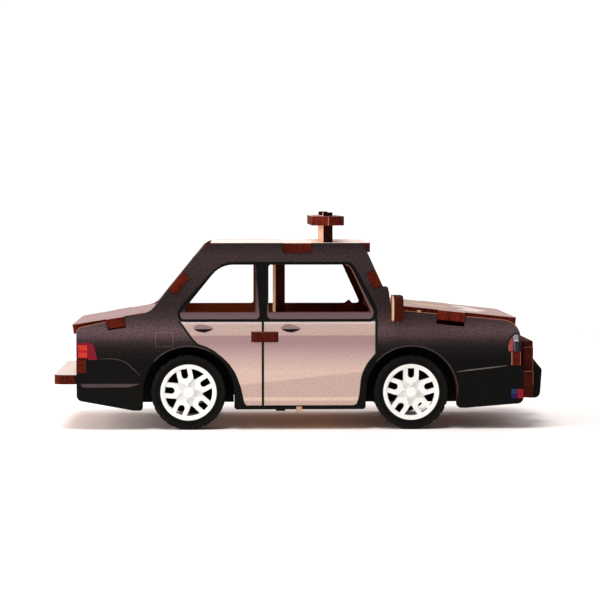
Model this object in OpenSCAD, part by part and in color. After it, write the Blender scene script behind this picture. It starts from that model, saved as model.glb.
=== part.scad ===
// Toy police car: a tab-and-slot kit of laser-cut boards that rolls on two steel axles.
// X points forward, Y to the car's left and Z up, with the ground at Z = 0.

/* [Boards] */
// Thickness of every plywood board
ply_t = 3; // [2.6:0.1:3.4]
// Clearance round a tab in its slot and where two boards meet
fit_gap = 0.1; // [0.05:0.05:0.2]
// How far the end of a tab stands out of a side panel
tab_proud = 0.3; // [0:0.1:0.6]

/* [Side panel] */
// Length of a side panel
panel_len = 143; // [134:0.5:152]
// Width over the two side panels
body_w = 62; // [56:0.5:70]
// Height of the sill between the wheel arches
sill_z = 6.6; // [5.5:0.1:8]
// Height of the side panel's lower corner at the rear
overhang_z = 9.6; // [8:0.1:11]
// Height of the side panel's lower corner at the nose
nose_foot_z = 8.4; // [7.4:0.1:9.6]
// Height where the front edge starts to lean back
nose_knee_z = 20.4; // [17:0.1:24]
// How far the front edge leans back at its top
nose_lean = 1.6; // [0:0.1:3]
// How far the front panel's face lies behind the side panels' front edges
front_inset = 1; // [0:0.1:1.6]
// How much further the side panels reach ahead of the axles' middle than behind it
nose_out = 0.45; // [0:0.05:1]
// Height of the front panel's top, behind the side panels' noses
front_top_z = 30.4; // [29:0.1:31]
// Radius of the panel's nose at the hood
nose_r = 6; // [2:0.1:7]
// Radius of the panel's small outer corners
corner_r = 2; // [0.5:0.1:3]
// Radius of the corners where a wheel arch meets the bottom edge
arch_lip_r = 1; // [0.3:0.1:1.5]
// Clear gap between a tyre and its wheel arch
arch_gap = 2.65; // [1.5:0.05:4]

/* [Cabin] */
// Height of the roof's top
roof_z = 59.9; // [55:0.1:66]
// Height of the window sills
belt_z = 37.8; // [36:0.1:40]
// Height of the board above the windows
header_h = 6.9; // [5:0.1:9]
// Lean of the windscreen from the ground
screen_ang = 65.4; // [58:0.1:72]
// Front face of the windscreen at the hood, X
screen_foot_x = 29.3; // [27:0.1:31]
// Front face of the windscreen at the hood, Z
screen_foot_z = 40; // [38.6:0.1:42]
// Lean of the rear window from the ground
backlight_ang = 50.9; // [45:0.1:56]
// Rear face of the rear window at the trunk, X
backlight_foot_x = -48; // [-51:0.1:-45]
// Rear face of the rear window at the trunk, Z
backlight_foot_z = 37.85; // [36.5:0.05:39]
// Width of the front pillar, along X
front_pillar_w = 7.6; // [6:0.1:9]
// Width of the rear pillar, along X
rear_pillar_w = 10.2; // [8:0.1:13]
// Centre of the pillar between the side windows, X
mid_pillar_x = -12.2; // [-14:0.1:-11]
// Width of the pillar between the side windows
mid_pillar_w = 4.2; // [3:0.1:6]
// Radius of the rear roof corner
roof_corner_r = 6.5; // [2:0.1:9]
// Radius of the front roof corner
roof_nose_r = 2.6; // [1:0.1:4]
// Radius of the curve at the rear window's foot
trunk_fillet_r = 6; // [1:0.1:8]
// Radius of the rear side window's upper corner
rear_glass_r = 8.5; // [3:0.1:10]
// Radius of the other window corners
window_r = 0.8; // [0.3:0.1:1.5]
// How far the roof stands out over the windscreen
roof_overhang = 1.9; // [0.5:0.1:3]
// Radius of the roof's front corners, seen from above
roof_plan_r = 3; // [1:0.1:5]
// Width of the frame round the windscreen and the rear window, at the sides
frame_side_w = 5; // [3:0.1:8]
// Width of the frame round the windscreen and the rear window, above and below
frame_end_w = 4; // [3:0.1:5]

/* [Hood and trunk] */
// Slope of the side panel's edge below the hood
hood_edge_ang = 5.35; // [3:0.05:8]
// Height of the panel's edge at the hood's rear
cowl_z = 38.7; // [38:0.1:39.4]
// Slope of the hood
hood_ang = 6; // [4:0.1:8]
// Height of the hood's top at its rear edge
hood_rear_z = 40; // [39.8:0.1:41]
// Room below the hood's tabs in their notches
hood_notch_room = 1.5; // [0.5:0.1:2]
// Slope of the side panel's edge beside the trunk
trunk_edge_ang = 12; // [8:0.1:15]
// Slope of the trunk lid
trunk_ang = 9.5; // [8:0.1:14]
// How far the trunk lid stands out behind the side panels
trunk_overhang = 1.6; // [0:0.1:2.2]
// How far the trunk lid stands above the panel's edge at its tabs
trunk_rise = 0.5; // [0:0.1:0.8]
// Gap between the trunk lid and the rear window's foot
trunk_gap = 0.5; // [0.3:0.1:1]

/* [Tabs] */
// Roof tab: centre, X
roof_tab_x = -0.95; // [-4:0.05:2]
// Roof tab: length
roof_tab_len = 9.1; // [6:0.1:14]
// Hood tab: centre, X
hood_tab_x = 48.7; // [46:0.1:52]
// Hood tab: length
hood_tab_len = 8.8; // [6:0.1:12]
// Trunk tab: centre, X
trunk_tab_x = -59.15; // [-62:0.05:-57]
// Trunk tab: length
trunk_tab_len = 5.7; // [4:0.1:8]
// Windscreen tab: height of its centre
screen_tab_z = 48.95; // [46:0.05:51]
// Windscreen tab: length
screen_tab_len = 5.4; // [4:0.1:7]
// Rear window tab: height of its centre
backlight_tab_z = 48; // [45:0.1:51]
// Rear window tab: length
backlight_tab_len = 6.9; // [5:0.1:9]
// Deck tab: centre, X
deck_tab_x = -11.3; // [-16:0.1:-10]
// Deck tab: length
deck_tab_len = 8.4; // [6:0.1:10]
// Front and rear panel tabs: length
end_tab_len = 4.5; // [3:0.1:6]
// Front panel tab: height of its centre
front_tab_z = 22.8; // [21:0.1:25]
// Rear panel tab: height of its centre
rear_tab_z = 20.6; // [20.5:0.1:23]

/* [Inner boards] */
// Height of the deck's underside
deck_z = 28.4; // [27.5:0.1:30]
// Rear end of the deck, X
deck_rear_x = -46; // [-50:0.5:-42]
// Height of the floor's underside
floor_z = 7.2; // [6.8:0.1:8]
// Gap between the floor's ends and the tyres
floor_gap = 2.75; // [1.5:0.05:5]
// Rear face of the partition behind the front seats, X
partition_x = -7.7; // [-9:0.1:-6.5]
// Width of the partition above the deck
partition_w = 49; // [40:0.5:52]
// Width of each leg of the partition
leg_w = 5.6; // [4:0.1:7]
// How far the partition's legs stand out below the floor
leg_proud = 1.4; // [0.3:0.1:1.6]
// How far the firewall's front face lies behind the windscreen's foot
firewall_setback = 0.3; // [0:0.05:0.6]
// Height of the dashboard's underside
dash_z = 37.5; // [36.8:0.1:38]
// Rear edge of the dashboard, X
dash_rear_x = 23.6; // [22.5:0.1:24.5]
// Height of the firewall's lower edge
firewall_z = 25; // [24:0.1:26]
// Distance between the outer faces of the two axle rails
rail_span = 40; // [36:0.5:41]
// Height of the rails' lower edge at the axles
rail_z = 8; // [7.4:0.1:9]
// How far the rails' deep part passes the wheel arch
rail_over = 0.7; // [0.2:0.1:2]
// Height of the rails' lower edge at the bumpers
rail_end_z = 19.5; // [19:0.1:21]
// Length of the rails' tabs into the floor and the deck
rail_tab_len = 6; // [4:0.1:8]
// Distance from the floor's end to the middle of a rail's tab
rail_tab_in = 7.5; // [5:0.1:9]
// Height of the rails' tabs into the front and rear panels
rail_end_tab_h = 4; // [3:0.1:5]

/* [Steering wheel] */
// Gap between the steering wheel and the dashboard's rear edge
steer_clear = 3.6; // [2:0.1:4]
// Centre of the steering wheel from the middle
steer_y = 12.5; // [9:0.1:14]
// Height of the centre of the steering wheel's face
steer_z = 36.9; // [36.6:0.1:38]
// Lean of the steering wheel from the ground
steer_ang = 41; // [36:0.5:46]
// Diameter of the steering wheel
steer_d = 8.8; // [8:0.1:9]
// Width of the steering wheel's rim and spokes
steer_bar = 1.2; // [0.9:0.1:1.5]
// Diameter of the steering wheel's hub
steer_hub_d = 3.6; // [3.4:0.1:4.4]
// Diameter of the steering column
column_d = 2; // [1.6:0.1:2.2]
// Depth of the column in the deck
column_seat = 2; // [1:0.1:2.2]

/* [Bumpers] */
// How far the rear bumper stands out behind the side panels
bumper_out = 7.2; // [5:0.1:10]
// Height of the rear bumper's underside
bumper_z = 14.8; // [14:0.1:15.3]
// Radius of the rear bumper's corners
bumper_r = 3; // [1:0.1:4]
// Centre of each rear bumper tab from the middle
bumper_tab_y = 9; // [7:0.1:11]
// Width of each rear bumper tab
bumper_tab_w = 8; // [5:0.1:10]
// Lower edge of the front bumper board
grille_z = 10; // [9.5:0.1:11.5]
// Height of the front bumper board's wide lower part
grille_low_h = 8.7; // [7:0.1:10]
// Height of its middle part
grille_mid_h = 7.7; // [6:0.1:9]
// Height of its top part
grille_top_h = 1.8; // [1:0.1:2.5]
// How far each part is set in from the one below
grille_step = 0.8; // [0.4:0.1:2]
// How far the push bars stand out of the front bumper board
push_out = 5.2; // [4:0.1:7]
// Height of the push bars' lower end
push_z = 8.5; // [8:0.1:9.4]
// Height of the push bars' upper end, at the board
push_top_z = 24.2; // [21:0.1:25]
// Height where the push bars' sloping top meets their front
push_knee_z = 17.9; // [16:0.1:20]
// Height of the push bars' tabs
push_tab_h = 4.4; // [3:0.1:6]
// Centre of the push bars' tabs
push_tab_z = 15; // [14:0.1:16]
// Centre of each push bar from the middle
push_y = 12; // [9:0.1:14]

/* [Mirrors] */
// How far a mirror stands out of the side panel
mirror_out = 10.4; // [6:0.1:14]
// Lower edge of a mirror
mirror_z = 35.2; // [33.5:0.1:35.5]
// Height of a mirror
mirror_h = 8; // [7:0.1:10]
// Radius of a mirror's corners
mirror_r = 3.2; // [1:0.1:3.6]
// Depth of the mirror's notch in the side panel
mirror_notch = 2; // [1:0.1:2.5]
// Width of the mirror's lip inside the side panel
mirror_lip = 2.8; // [2:0.1:4]

/* [Light bar] */
// Centre of the light bar, X
light_x = 9.3; // [7:0.1:12]
// Height of the light plate's underside above the roof
light_rise = 5.5; // [4:0.1:8]
// Length of the light plate
light_len = 52; // [46:0.5:58]
// Width of the light plate
light_w = 10.4; // [9:0.1:13]
// Length of each pointed end
light_point = 4; // [2:0.1:6]
// Width of the web that carries the plate
web_w = 45; // [44.5:0.5:48]
// Centre of each web tab from the middle
web_tab_y = 18.5; // [16:0.1:18.8]
// Width of each web tab
web_tab_w = 6; // [4:0.1:7]
// How far the web's tabs stand out above the plate
web_proud = 1.2; // [0.3:0.1:2]

/* [Wheels] */
// Distance between the axles
wheelbase = 71.5; // [68:0.5:75]
// Outer diameter of a tyre
tyre_d = 24; // [22:0.1:25.5]
// Width of a tyre
tyre_w = 8; // [6.5:0.1:8.5]
// Diameter of a rim
rim_d = 18; // [16.5:0.1:19]
// Clearance between a tyre and its rim
tyre_seat = 0.04; // [0.02:0.01:0.1]
// Gap between a tyre and the rail beside it
tyre_gap = 2.5; // [1.5:0.1:3]
// Diameter of an axle
axle_d = 2; // [1.6:0.1:2.4]
// Running clearance of an axle in its rails, on the radius
axle_gap = 0.08; // [0.03:0.01:0.1]
// Side play between a hub and its rail
hub_play = 0.4; // [0.2:0.05:0.8]
// Number of double spokes
spokes = 5; // [4:1:6]
// Width over a double spoke
spoke_w = 5; // [4.4:0.1:5.4]
// Width of the slot in a double spoke
slot_w = 2.1; // [1.4:0.1:2.4]
// Radius of the solid hub disc
hub_disc_r = 4.5; // [4:0.1:5]
// Width of the rim's flange, seen from the side
flange_w = 1.4; // [1.2:0.1:2.2]
// Thickness of the spoke disc
spoke_t = 2; // [1.4:0.1:2.6]
// How far the double spokes stand out of the hub disc
spoke_relief = 0.4; // [0.2:0.05:0.6]
// Radius where a double spoke's round inner end has its centre
spoke_root_r = 5.3; // [4.8:0.1:5.6]
// Wall of the rim's barrel
barrel_t = 0.9; // [0.6:0.1:1.2]
// Radius of the hub boss
boss_r = 2.4; // [1.8:0.1:3]
// Radius of the hub cap
cap_r = 1.7; // [1.4:0.1:2.6]
// Depth of the rim left in front of an axle's end
axle_cover = 1.6; // [1:0.1:1.8]
// Height of the tyre's bead, beside the rim
bead_h = 1.3; // [0.8:0.1:1.6]
// Radius of the tyre's shoulders
shoulder_r = 1.6; // [0.8:0.1:2]
// Number of tread grooves on each shoulder
treads = 24; // [16:1:32]
// Depth of a tread groove
tread_depth = 0.4; // [0.2:0.05:0.6]
// Width of a tread groove
tread_w = 0.8; // [0.5:0.1:1.2]
// Length of a tread groove across the tyre
tread_len = 2.8; // [2:0.1:3.2]

/* [Hidden] */

$fn = 64;
// Straight pieces in each rounded corner and in each wheel arch
corner_steps = 6;
arch_steps = 28;
// Overshoot of a cut past the face it opens
cut = 1;
// Length of a cut that has to leave the part altogether
far = 20;

wood = "peru";
printed = "dimgray";
rim_white = "white";
tyre_black = "black";
steel = "silver";

// Main planes
half_w = body_w / 2;
inner_half = half_w - ply_t;
board_half = inner_half - fit_gap;
rear_x = -panel_len / 2;
front_x = panel_len / 2 + nose_out;
axle_x = wheelbase / 2;
axle_z = tyre_d / 2;
arch_r = tyre_d / 2 + arch_gap;
window_top = roof_z - header_h;
roof_under = roof_z - ply_t;
deck_top = deck_z + ply_t;
floor_top = floor_z + ply_t;
rail_half = rail_span / 2;
// The floor ends short of the tyres, and the rails' tabs stay inside it
floor_len = wheelbase - tyre_d - 2 * floor_gap;
rail_tab_x = floor_len / 2 - rail_tab_in;
tab_end = half_w + tab_proud;

// Pillar lines: X of the windscreen's and the rear window's outer face at a height
function screen_x(z) = screen_foot_x - (z - screen_foot_z) / tan(screen_ang);
function backlight_x(z) = backlight_foot_x + (z - backlight_foot_z) / tan(backlight_ang);
// Height of the panel's edge along the hood and the trunk
function hood_edge_z(x) = cowl_z - (x - screen_foot_x) * tan(hood_edge_ang);
function trunk_edge_z(x) = backlight_foot_z + (x - backlight_foot_x) * tan(trunk_edge_ang);

// Firewall, with the dashboard on top of it as far as its front face
firewall_front = screen_foot_x - firewall_setback;
firewall_x = firewall_front - ply_t;
dash_top = dash_z + ply_t;

// Hood: its rear end meets the dashboard and its front end covers the front panel
// A square-cut end of the sloping hood leans back by this much at its underside
hood_lean = ply_t * sin(hood_ang);
hood_rear_x = firewall_front + fit_gap + hood_lean;
nose_top_x = front_x - nose_lean;
hood_front_x = nose_top_x;
hood_len = (hood_front_x - hood_rear_x) / cos(hood_ang) - ply_t * tan(hood_ang);
hood_tab_s = (hood_tab_x - hood_rear_x) / cos(hood_ang);

// Trunk lid: its top stands above the panel's edge at its tabs
trunk_tab_z = trunk_edge_z(trunk_tab_x) + trunk_rise;
function trunk_top_z(x) = trunk_tab_z + (x - trunk_tab_x) * tan(trunk_ang);
function trunk_under_z(x) = trunk_top_z(x) - ply_t / cos(trunk_ang);
trunk_rear_s = (rear_x - trunk_overhang - trunk_tab_x) / cos(trunk_ang);

// Windscreen and rear window, measured along their slopes from the foot
screen_top_s = (roof_under - fit_gap - screen_foot_z) / sin(screen_ang);
screen_low_s = (dash_top + fit_gap + ply_t * cos(screen_ang) - screen_foot_z) / sin(screen_ang);
screen_tab_s = (screen_tab_z - screen_foot_z) / sin(screen_ang);
backlight_top_s = (roof_under - fit_gap + ply_t * cos(backlight_ang) - backlight_foot_z) / sin(backlight_ang);
backlight_low_s = 1.2 + trunk_rise / sin(backlight_ang);
backlight_tab_s = (backlight_tab_z - backlight_foot_z) / sin(backlight_ang);
// The trunk lid's front corner lies below the rear window's lower end
backlight_low_x = backlight_foot_x + backlight_low_s * cos(backlight_ang);
trunk_front_x = backlight_low_x + trunk_gap;
trunk_front_s = (trunk_front_x - trunk_tab_x) / cos(trunk_ang);
// The roof ends at the rear window's inner top corner
backlight_in_x = backlight_foot_x + backlight_top_s * cos(backlight_ang) + ply_t * sin(backlight_ang);
roof_rear_x = backlight_in_x + fit_gap;
roof_front_x = screen_x(roof_z - ply_t / 2) + roof_overhang;

// End panels lie in open notches in the side panels' ends
front_face_x = front_x - front_inset;
front_panel_x = front_face_x - ply_t;
rear_face_x = rear_x;
grille_x = front_x + fit_gap;
bumper_rear_x = rear_x - bumper_out;
push_front_x = grille_x + ply_t + push_out;

// Mirrors stand on the panel's edge just ahead of the windscreen's foot
mirror_x = screen_foot_x + fit_gap;
mirror_seat_z = hood_edge_z(mirror_x + ply_t) - mirror_notch;

// Light bar levels
plate_z = roof_z + light_rise;
plate_top = plate_z + ply_t;

// Wheels, measured outwards from the car's middle
wheel_back = rail_half + tyre_gap;
wheel_face = wheel_back + tyre_w;
rim_r = rim_d / 2;
// Steps from the tyre's side to the rim's edge and from there to the spokes
rim_lip = 0.4;
rim_face = wheel_face - rim_lip;
spoke_face = rim_face - rim_lip;
hub_end = rail_half + hub_play;
axle_end = spoke_face - axle_cover;

// Corners whose half angle is past this count as straight
straight_half = 89;
// Points of the corner at p between a and b, rounded with radius r as far as its sides allow
function unit(v) = v / norm(v);
function corner(a, p, b, r) =
    let(u = unit(a - p), v = unit(b - p), half = acos(max(-1, min(1, u * v))) / 2)
    (r <= 0 || half > straight_half) ? [p] :
    let(reach = min(r / tan(half), 0.49 * min(norm(a - p), norm(b - p))),
        rr = reach * tan(half), c = p + unit(u + v) * rr / sin(half),
        d0 = p + u * reach - c, d1 = p + v * reach - c,
        a0 = atan2(d0.y, d0.x), sweep = (atan2(d1.y, d1.x) - a0 + 540) % 360 - 180)
    [for (i = [0 : corner_steps]) let(turn = a0 + sweep * i / corner_steps) c + rr * [cos(turn), sin(turn)]];
// Outline from points [x, y, corner radius]
function rounded(pts) = let(n = len(pts))
    [for (i = [0 : n - 1]) let(a = pts[(i + n - 1) % n], p = pts[i], b = pts[(i + 1) % n])
        each corner([a.x, a.y], [p.x, p.y], [b.x, b.y], p.z)];
function box_points(x0, y0, x1, y1, r) = [[x0, y0, r], [x1, y0, r], [x1, y1, r], [x0, y1, r]];
// Wheel arch over an axle, from its rear foot to its front foot
function arch(x) = [for (i = [0 : arch_steps])
    [x - arch_r * cos(180 * i / arch_steps), axle_z + arch_r * sin(180 * i / arch_steps), 0]];

// Boards: an outline in X and Z, in Y and Z, or in X and Y, with its low face at the given place
module upright_board(y) { translate([0, y + ply_t, 0]) rotate([90, 0, 0]) linear_extrude(ply_t) children(); }
module cross_board(x) { translate([x, 0, 0]) rotate([90, 0, 90]) linear_extrude(ply_t) children(); }
module flat_board(z) { translate([0, 0, z]) linear_extrude(ply_t) children(); }

// Box between two corners
module block(lo, hi) { translate(lo) cube(hi - lo); }

// Frames of the sloping boards: X outwards, Z up the slope
module screen_place() {
    translate([screen_foot_x, 0, screen_foot_z]) rotate([0, screen_ang - 90, 0]) children();
}
module backlight_place() {
    translate([backlight_foot_x, 0, backlight_foot_z]) rotate([0, 90 - backlight_ang, 0]) children();
}
// Frames of the hood and the trunk lid: X along the board from its reference edge, Z up from its top
module hood_place() { translate([hood_rear_x, 0, hood_rear_z]) rotate([0, hood_ang, 0]) children(); }
module trunk_place() { translate([trunk_tab_x, 0, trunk_tab_z]) rotate([0, -trunk_ang, 0]) children(); }

// Shoulder at the windscreen's foot: its rise, its step back and its radius
cowl_rise = 5.6;
cowl_step = 0.6;
cowl_r = 1.2;
// Flats beside the wheel arches: their length and their step in height
arch_foot = 2.9;
foot_step = 0.3;

// Side panel outline, clockwise from the rear lower corner
function side_outline() = concat(
    [[rear_x, overhang_z, corner_r]],
    [[rear_x, trunk_edge_z(rear_x), corner_r]],
    [[backlight_foot_x, backlight_foot_z, trunk_fillet_r]],
    [[backlight_x(roof_z), roof_z, roof_corner_r]],
    [[screen_x(roof_z), roof_z, roof_nose_r]],
    [[screen_x(screen_foot_z + cowl_rise), screen_foot_z + cowl_rise, 0]],
    [[firewall_front - cowl_step, screen_foot_z + cowl_rise - cowl_step, cowl_r]],
    [[mirror_x - 2 * fit_gap, hood_edge_z(mirror_x), 0]],
    [[nose_top_x, hood_edge_z(nose_top_x), nose_r]],
    [[front_x, nose_knee_z, 0]],
    [[front_x, nose_foot_z, corner_r]],
    [[axle_x + arch_r + arch_foot, sill_z + foot_step, 0]],
    [[axle_x + arch_r, sill_z + foot_step, 2 * arch_lip_r]],
    [for (i = [0 : arch_steps]) arch(axle_x)[arch_steps - i]],
    [[axle_x - arch_r, sill_z, arch_lip_r]],
    [[arch_r - axle_x, sill_z, arch_lip_r]],
    [for (i = [0 : arch_steps]) arch(-axle_x)[arch_steps - i]],
    [[-axle_x - arch_r, sill_z - foot_step, arch_lip_r]],
    [[-axle_x - arch_r - arch_foot, sill_z - foot_step, corner_r]]);

function rear_window_points() = [
    [backlight_x(belt_z) + rear_pillar_w, belt_z, window_r],
    [mid_pillar_x - mid_pillar_w / 2, belt_z, window_r],
    [mid_pillar_x - mid_pillar_w / 2, window_top, window_r],
    [backlight_x(window_top) + rear_pillar_w, window_top, rear_glass_r]];
function front_window_points() = [
    [mid_pillar_x + mid_pillar_w / 2, belt_z, window_r],
    [screen_x(belt_z) - front_pillar_w, belt_z, window_r],
    [screen_x(window_top) - front_pillar_w, window_top, 2 * window_r],
    [mid_pillar_x + mid_pillar_w / 2, window_top, window_r]];

// Slots that the other boards' tabs need in the right-hand panel
module panel_slots() {
    y0 = -half_w - cut;
    y1 = -inner_half + cut;
    g = fit_gap;
    block([roof_tab_x - roof_tab_len / 2 - g, y0, roof_under - g],
        [roof_tab_x + roof_tab_len / 2 + g, y1, roof_z + cut]);
    hood_place() block([hood_tab_s - hood_tab_len / 2 - g, y0, -ply_t - hood_notch_room],
        [hood_tab_s + hood_tab_len / 2 + g, y1, far]);
    block([deck_tab_x - deck_tab_len / 2 - g, y0, deck_z - g],
        [deck_tab_x + deck_tab_len / 2 + g, y1, deck_top + g]);
    block([front_panel_x - g, y0, front_tab_z - end_tab_len / 2 - g],
        [front_x + cut, y1, front_tab_z + end_tab_len / 2 + g]);
    block([rear_x - cut, y0, rear_tab_z - end_tab_len / 2 - g],
        [rear_face_x + ply_t + g, y1, rear_tab_z + end_tab_len / 2 + g]);
    block([mirror_x - g, y0, mirror_seat_z], [mirror_x + ply_t + g, y1, screen_tab_z]);
    trunk_place() block([-trunk_tab_len / 2 - g, y0, -ply_t - trunk_rise], [trunk_tab_len / 2 + g, y1, far]);
    screen_place() block([-ply_t - g, y0, screen_tab_s - screen_tab_len / 2 - g],
        [far, y1, screen_tab_s + screen_tab_len / 2 + g]);
    backlight_place() block([-far, y0, backlight_tab_s - backlight_tab_len / 2 - g],
        [ply_t + g, y1, backlight_tab_s + backlight_tab_len / 2 + g]);
}

module side_panel() {
    color(printed) difference() {
        upright_board(-half_w) difference() {
            polygon(rounded(side_outline()));
            polygon(rounded(rear_window_points()));
            polygon(rounded(front_window_points()));
        }
        panel_slots();
    }
}
module side_panel_right() { side_panel(); }
module side_panel_left() { mirror([0, 1, 0]) side_panel(); }

// Roof, with slots for the light bar's web
module roof_panel() {
    color("ivory") flat_board(roof_under) difference() {
        union() {
            polygon(rounded([
                [roof_rear_x, -board_half, 0], [roof_front_x, -board_half, roof_plan_r],
                [roof_front_x, board_half, roof_plan_r], [roof_rear_x, board_half, 0]]));
            translate([roof_tab_x, 0]) square([roof_tab_len, 2 * tab_end], center = true);
        }
        for (side = [-1, 1]) translate([light_x, side * web_tab_y])
            square([ply_t + 2 * fit_gap, web_tab_w + 2 * fit_gap], center = true);
    }
}

// Window frame in its own plane: width along X, height along Y
module frame_outline(low_s, top_s, tab_s, tab_len) {
    difference() {
        union() {
            translate([-board_half, low_s]) square([2 * board_half, top_s - low_s]);
            translate([0, tab_s]) square([2 * tab_end, tab_len], center = true);
        }
        polygon(rounded(box_points(-board_half + frame_side_w, low_s + frame_end_w,
            board_half - frame_side_w, top_s - frame_end_w, 2 * window_r)));
    }
}
module windscreen_frame() {
    color(printed) screen_place() cross_board(-ply_t)
        frame_outline(screen_low_s, screen_top_s, screen_tab_s, screen_tab_len);
}
module rear_window_frame() {
    color(printed) backlight_place() cross_board(0)
        frame_outline(backlight_low_s, backlight_top_s, backlight_tab_s, backlight_tab_len);
}

// Hood, cut away at its rear corners for the mirrors
module hood_panel() {
    notch_len = (mirror_x + ply_t + 2 * fit_gap - hood_rear_x) / cos(hood_ang) + ply_t * tan(hood_ang);
    notch_w = mirror_lip + 2 * fit_gap;
    color(printed) hood_place() flat_board(-ply_t) difference() {
        union() {
            polygon(rounded([[0, -board_half, 0], [hood_len, -board_half, corner_r],
                [hood_len, board_half, corner_r], [0, board_half, 0]]));
            translate([hood_tab_s, 0]) square([hood_tab_len, 2 * tab_end], center = true);
        }
        for (side = [-1, 1]) translate([0, side * inner_half])
            square([2 * notch_len, 2 * notch_w], center = true);
    }
}

module trunk_lid() {
    color(printed) trunk_place() flat_board(-ply_t) union() {
        polygon(rounded([[trunk_rear_s, -board_half, corner_r], [trunk_front_s, -board_half, 0],
            [trunk_front_s, board_half, 0], [trunk_rear_s, board_half, corner_r]]));
        square([trunk_tab_len, 2 * tab_end], center = true);
    }
}

// End panels, with tabs into the side panels and slots for the rails and bumpers
rail_end_tab_z = front_tab_z + rail_end_tab_h / 2;
module rail_end_slots() {
    for (side = [-1, 1]) translate([side * (rail_half - ply_t / 2), rail_end_tab_z])
        square([ply_t + 2 * fit_gap, rail_end_tab_h + 2 * fit_gap], center = true);
}
module push_slots() {
    for (side = [-1, 1]) translate([side * push_y, push_tab_z])
        square([ply_t + 2 * fit_gap, push_tab_h + 2 * fit_gap], center = true);
}
module front_panel() {
    color(wood) cross_board(front_panel_x) difference() {
        union() {
            translate([-board_half, grille_z]) square([2 * board_half, front_top_z - grille_z]);
            translate([0, front_tab_z]) square([2 * tab_end, end_tab_len], center = true);
        }
        rail_end_slots();
        push_slots();
    }
}
module front_bumper() {
    low = grille_z + grille_low_h;
    mid = low + grille_mid_h;
    top = mid + grille_top_h;
    top_half = half_w - 2 * grille_step;
    color(printed) cross_board(grille_x) difference() {
        polygon(rounded(concat(
            [[-half_w, grille_z, corner_r], [half_w, grille_z, corner_r]],
            [[half_w, low, 0], [half_w - grille_step, low, 0]],
            [[half_w - grille_step, mid, 0], [top_half, mid, 0]],
            [[top_half, top, grille_step / 2], [-top_half, top, grille_step / 2]],
            [[-top_half, mid, 0], [grille_step - half_w, mid, 0]],
            [[grille_step - half_w, low, 0], [-half_w, low, 0]])));
        push_slots();
    }
}

// Push bar: a cut profile with a tab through the bumper board and the front panel
module push_bar(y) {
    back = grille_x + ply_t + fit_gap;
    color("black") upright_board(y - ply_t / 2) union() {
        polygon(rounded([[back, push_z, corner_r / 2], [push_front_x - push_out / 8, push_z, corner_r],
            [push_front_x, push_knee_z, corner_r / 2], [back, push_top_z, corner_r / 4]]));
        translate([front_panel_x, push_tab_z - push_tab_h / 2])
            square([back - front_panel_x + cut, push_tab_h]);
    }
}
module push_bar_right() { push_bar(-push_y); }
module push_bar_left() { push_bar(push_y); }

module rear_panel() {
    low = overhang_z + corner_r;
    top = trunk_under_z(rear_face_x) - fit_gap;
    color(printed) cross_board(rear_face_x) difference() {
        union() {
            translate([-board_half, low]) square([2 * board_half, top - low]);
            translate([0, rear_tab_z]) square([2 * tab_end, end_tab_len], center = true);
        }
        rail_end_slots();
        for (side = [-1, 1]) translate([side * bumper_tab_y, bumper_z + ply_t / 2])
            square([bumper_tab_w + 2 * fit_gap, ply_t + 2 * fit_gap], center = true);
    }
}
module rear_bumper() {
    color("ivory") flat_board(bumper_z) union() {
        polygon(rounded([[bumper_rear_x, -half_w, bumper_r], [rear_face_x - fit_gap, -half_w, bumper_r / 4],
            [rear_face_x - fit_gap, half_w, bumper_r / 4], [bumper_rear_x, half_w, bumper_r]]));
        for (side = [-1, 1]) translate([rear_face_x - cut, side * bumper_tab_y - bumper_tab_w / 2])
            square([ply_t + cut, bumper_tab_w]);
    }
}

// Slots for the rails' tabs, in the floor and in the deck
module rail_tab_slots() {
    for (side = [-1, 1], end = [-1, 1]) translate([end * rail_tab_x, side * (rail_half - ply_t / 2)])
        square([rail_tab_len + 2 * fit_gap, ply_t + 2 * fit_gap], center = true);
}
// Open notches for the partition's legs, at the edges of the floor and the deck
module leg_notches() {
    for (side = [-1, 1]) translate([partition_x + ply_t / 2, side * (inner_half - leg_w / 2)])
        square([ply_t + 2 * fit_gap, leg_w + 2 * fit_gap], center = true);
}
module floor_board() {
    color(wood) flat_board(floor_z) difference() {
        square([floor_len, 2 * board_half], center = true);
        rail_tab_slots();
        leg_notches();
    }
}
module deck_plate() {
    front = firewall_x - fit_gap;
    flat_board(deck_z) difference() {
        union() {
            translate([deck_rear_x, -board_half]) square([front - deck_rear_x, 2 * board_half]);
            polygon(rounded(box_points(deck_tab_x - deck_tab_len / 2, -tab_end,
                deck_tab_x + deck_tab_len / 2, tab_end, corner_r / 2)));
        }
        rail_tab_slots();
        leg_notches();
    }
}
module deck_board() {
    color(wood) difference() {
        deck_plate();
        steer_place() translate([0, 0, -column_len - fit_gap])
            cylinder(d = column_d + fit_gap, h = column_len);
    }
}

// Partition behind the front seats: it stands on the deck and its legs pass the deck and the floor
module partition_board() {
    wide = partition_w / 2;
    leg_in = inner_half - leg_w;
    shoulder = deck_top + fit_gap;
    collar = shoulder + ply_t;
    foot = floor_z - leg_proud;
    top = roof_under - fit_gap;
    color(wood) cross_board(partition_x) polygon(concat(
        [[-wide, top], [wide, top], [wide, collar], [board_half, collar], [board_half, foot], [leg_in, foot]],
        [[leg_in, shoulder], [-leg_in, shoulder], [-leg_in, foot], [-board_half, foot]],
        [[-board_half, collar], [-wide, collar]]));
}

// Firewall: it lies in the rails' notches and carries the dashboard
module firewall_board() {
    top = dash_z - fit_gap;
    color(wood) cross_board(firewall_x)
        translate([-board_half, firewall_z]) square([2 * board_half, top - firewall_z]);
}

// Dashboard: a shelf on the firewall, with the windscreen on top of it
module dashboard() {
    color(wood) flat_board(dash_z) polygon(rounded([
        [dash_rear_x, -board_half, corner_r], [firewall_front, -board_half, 0],
        [firewall_front, board_half, 0], [dash_rear_x, board_half, corner_r]]));
}

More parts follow.
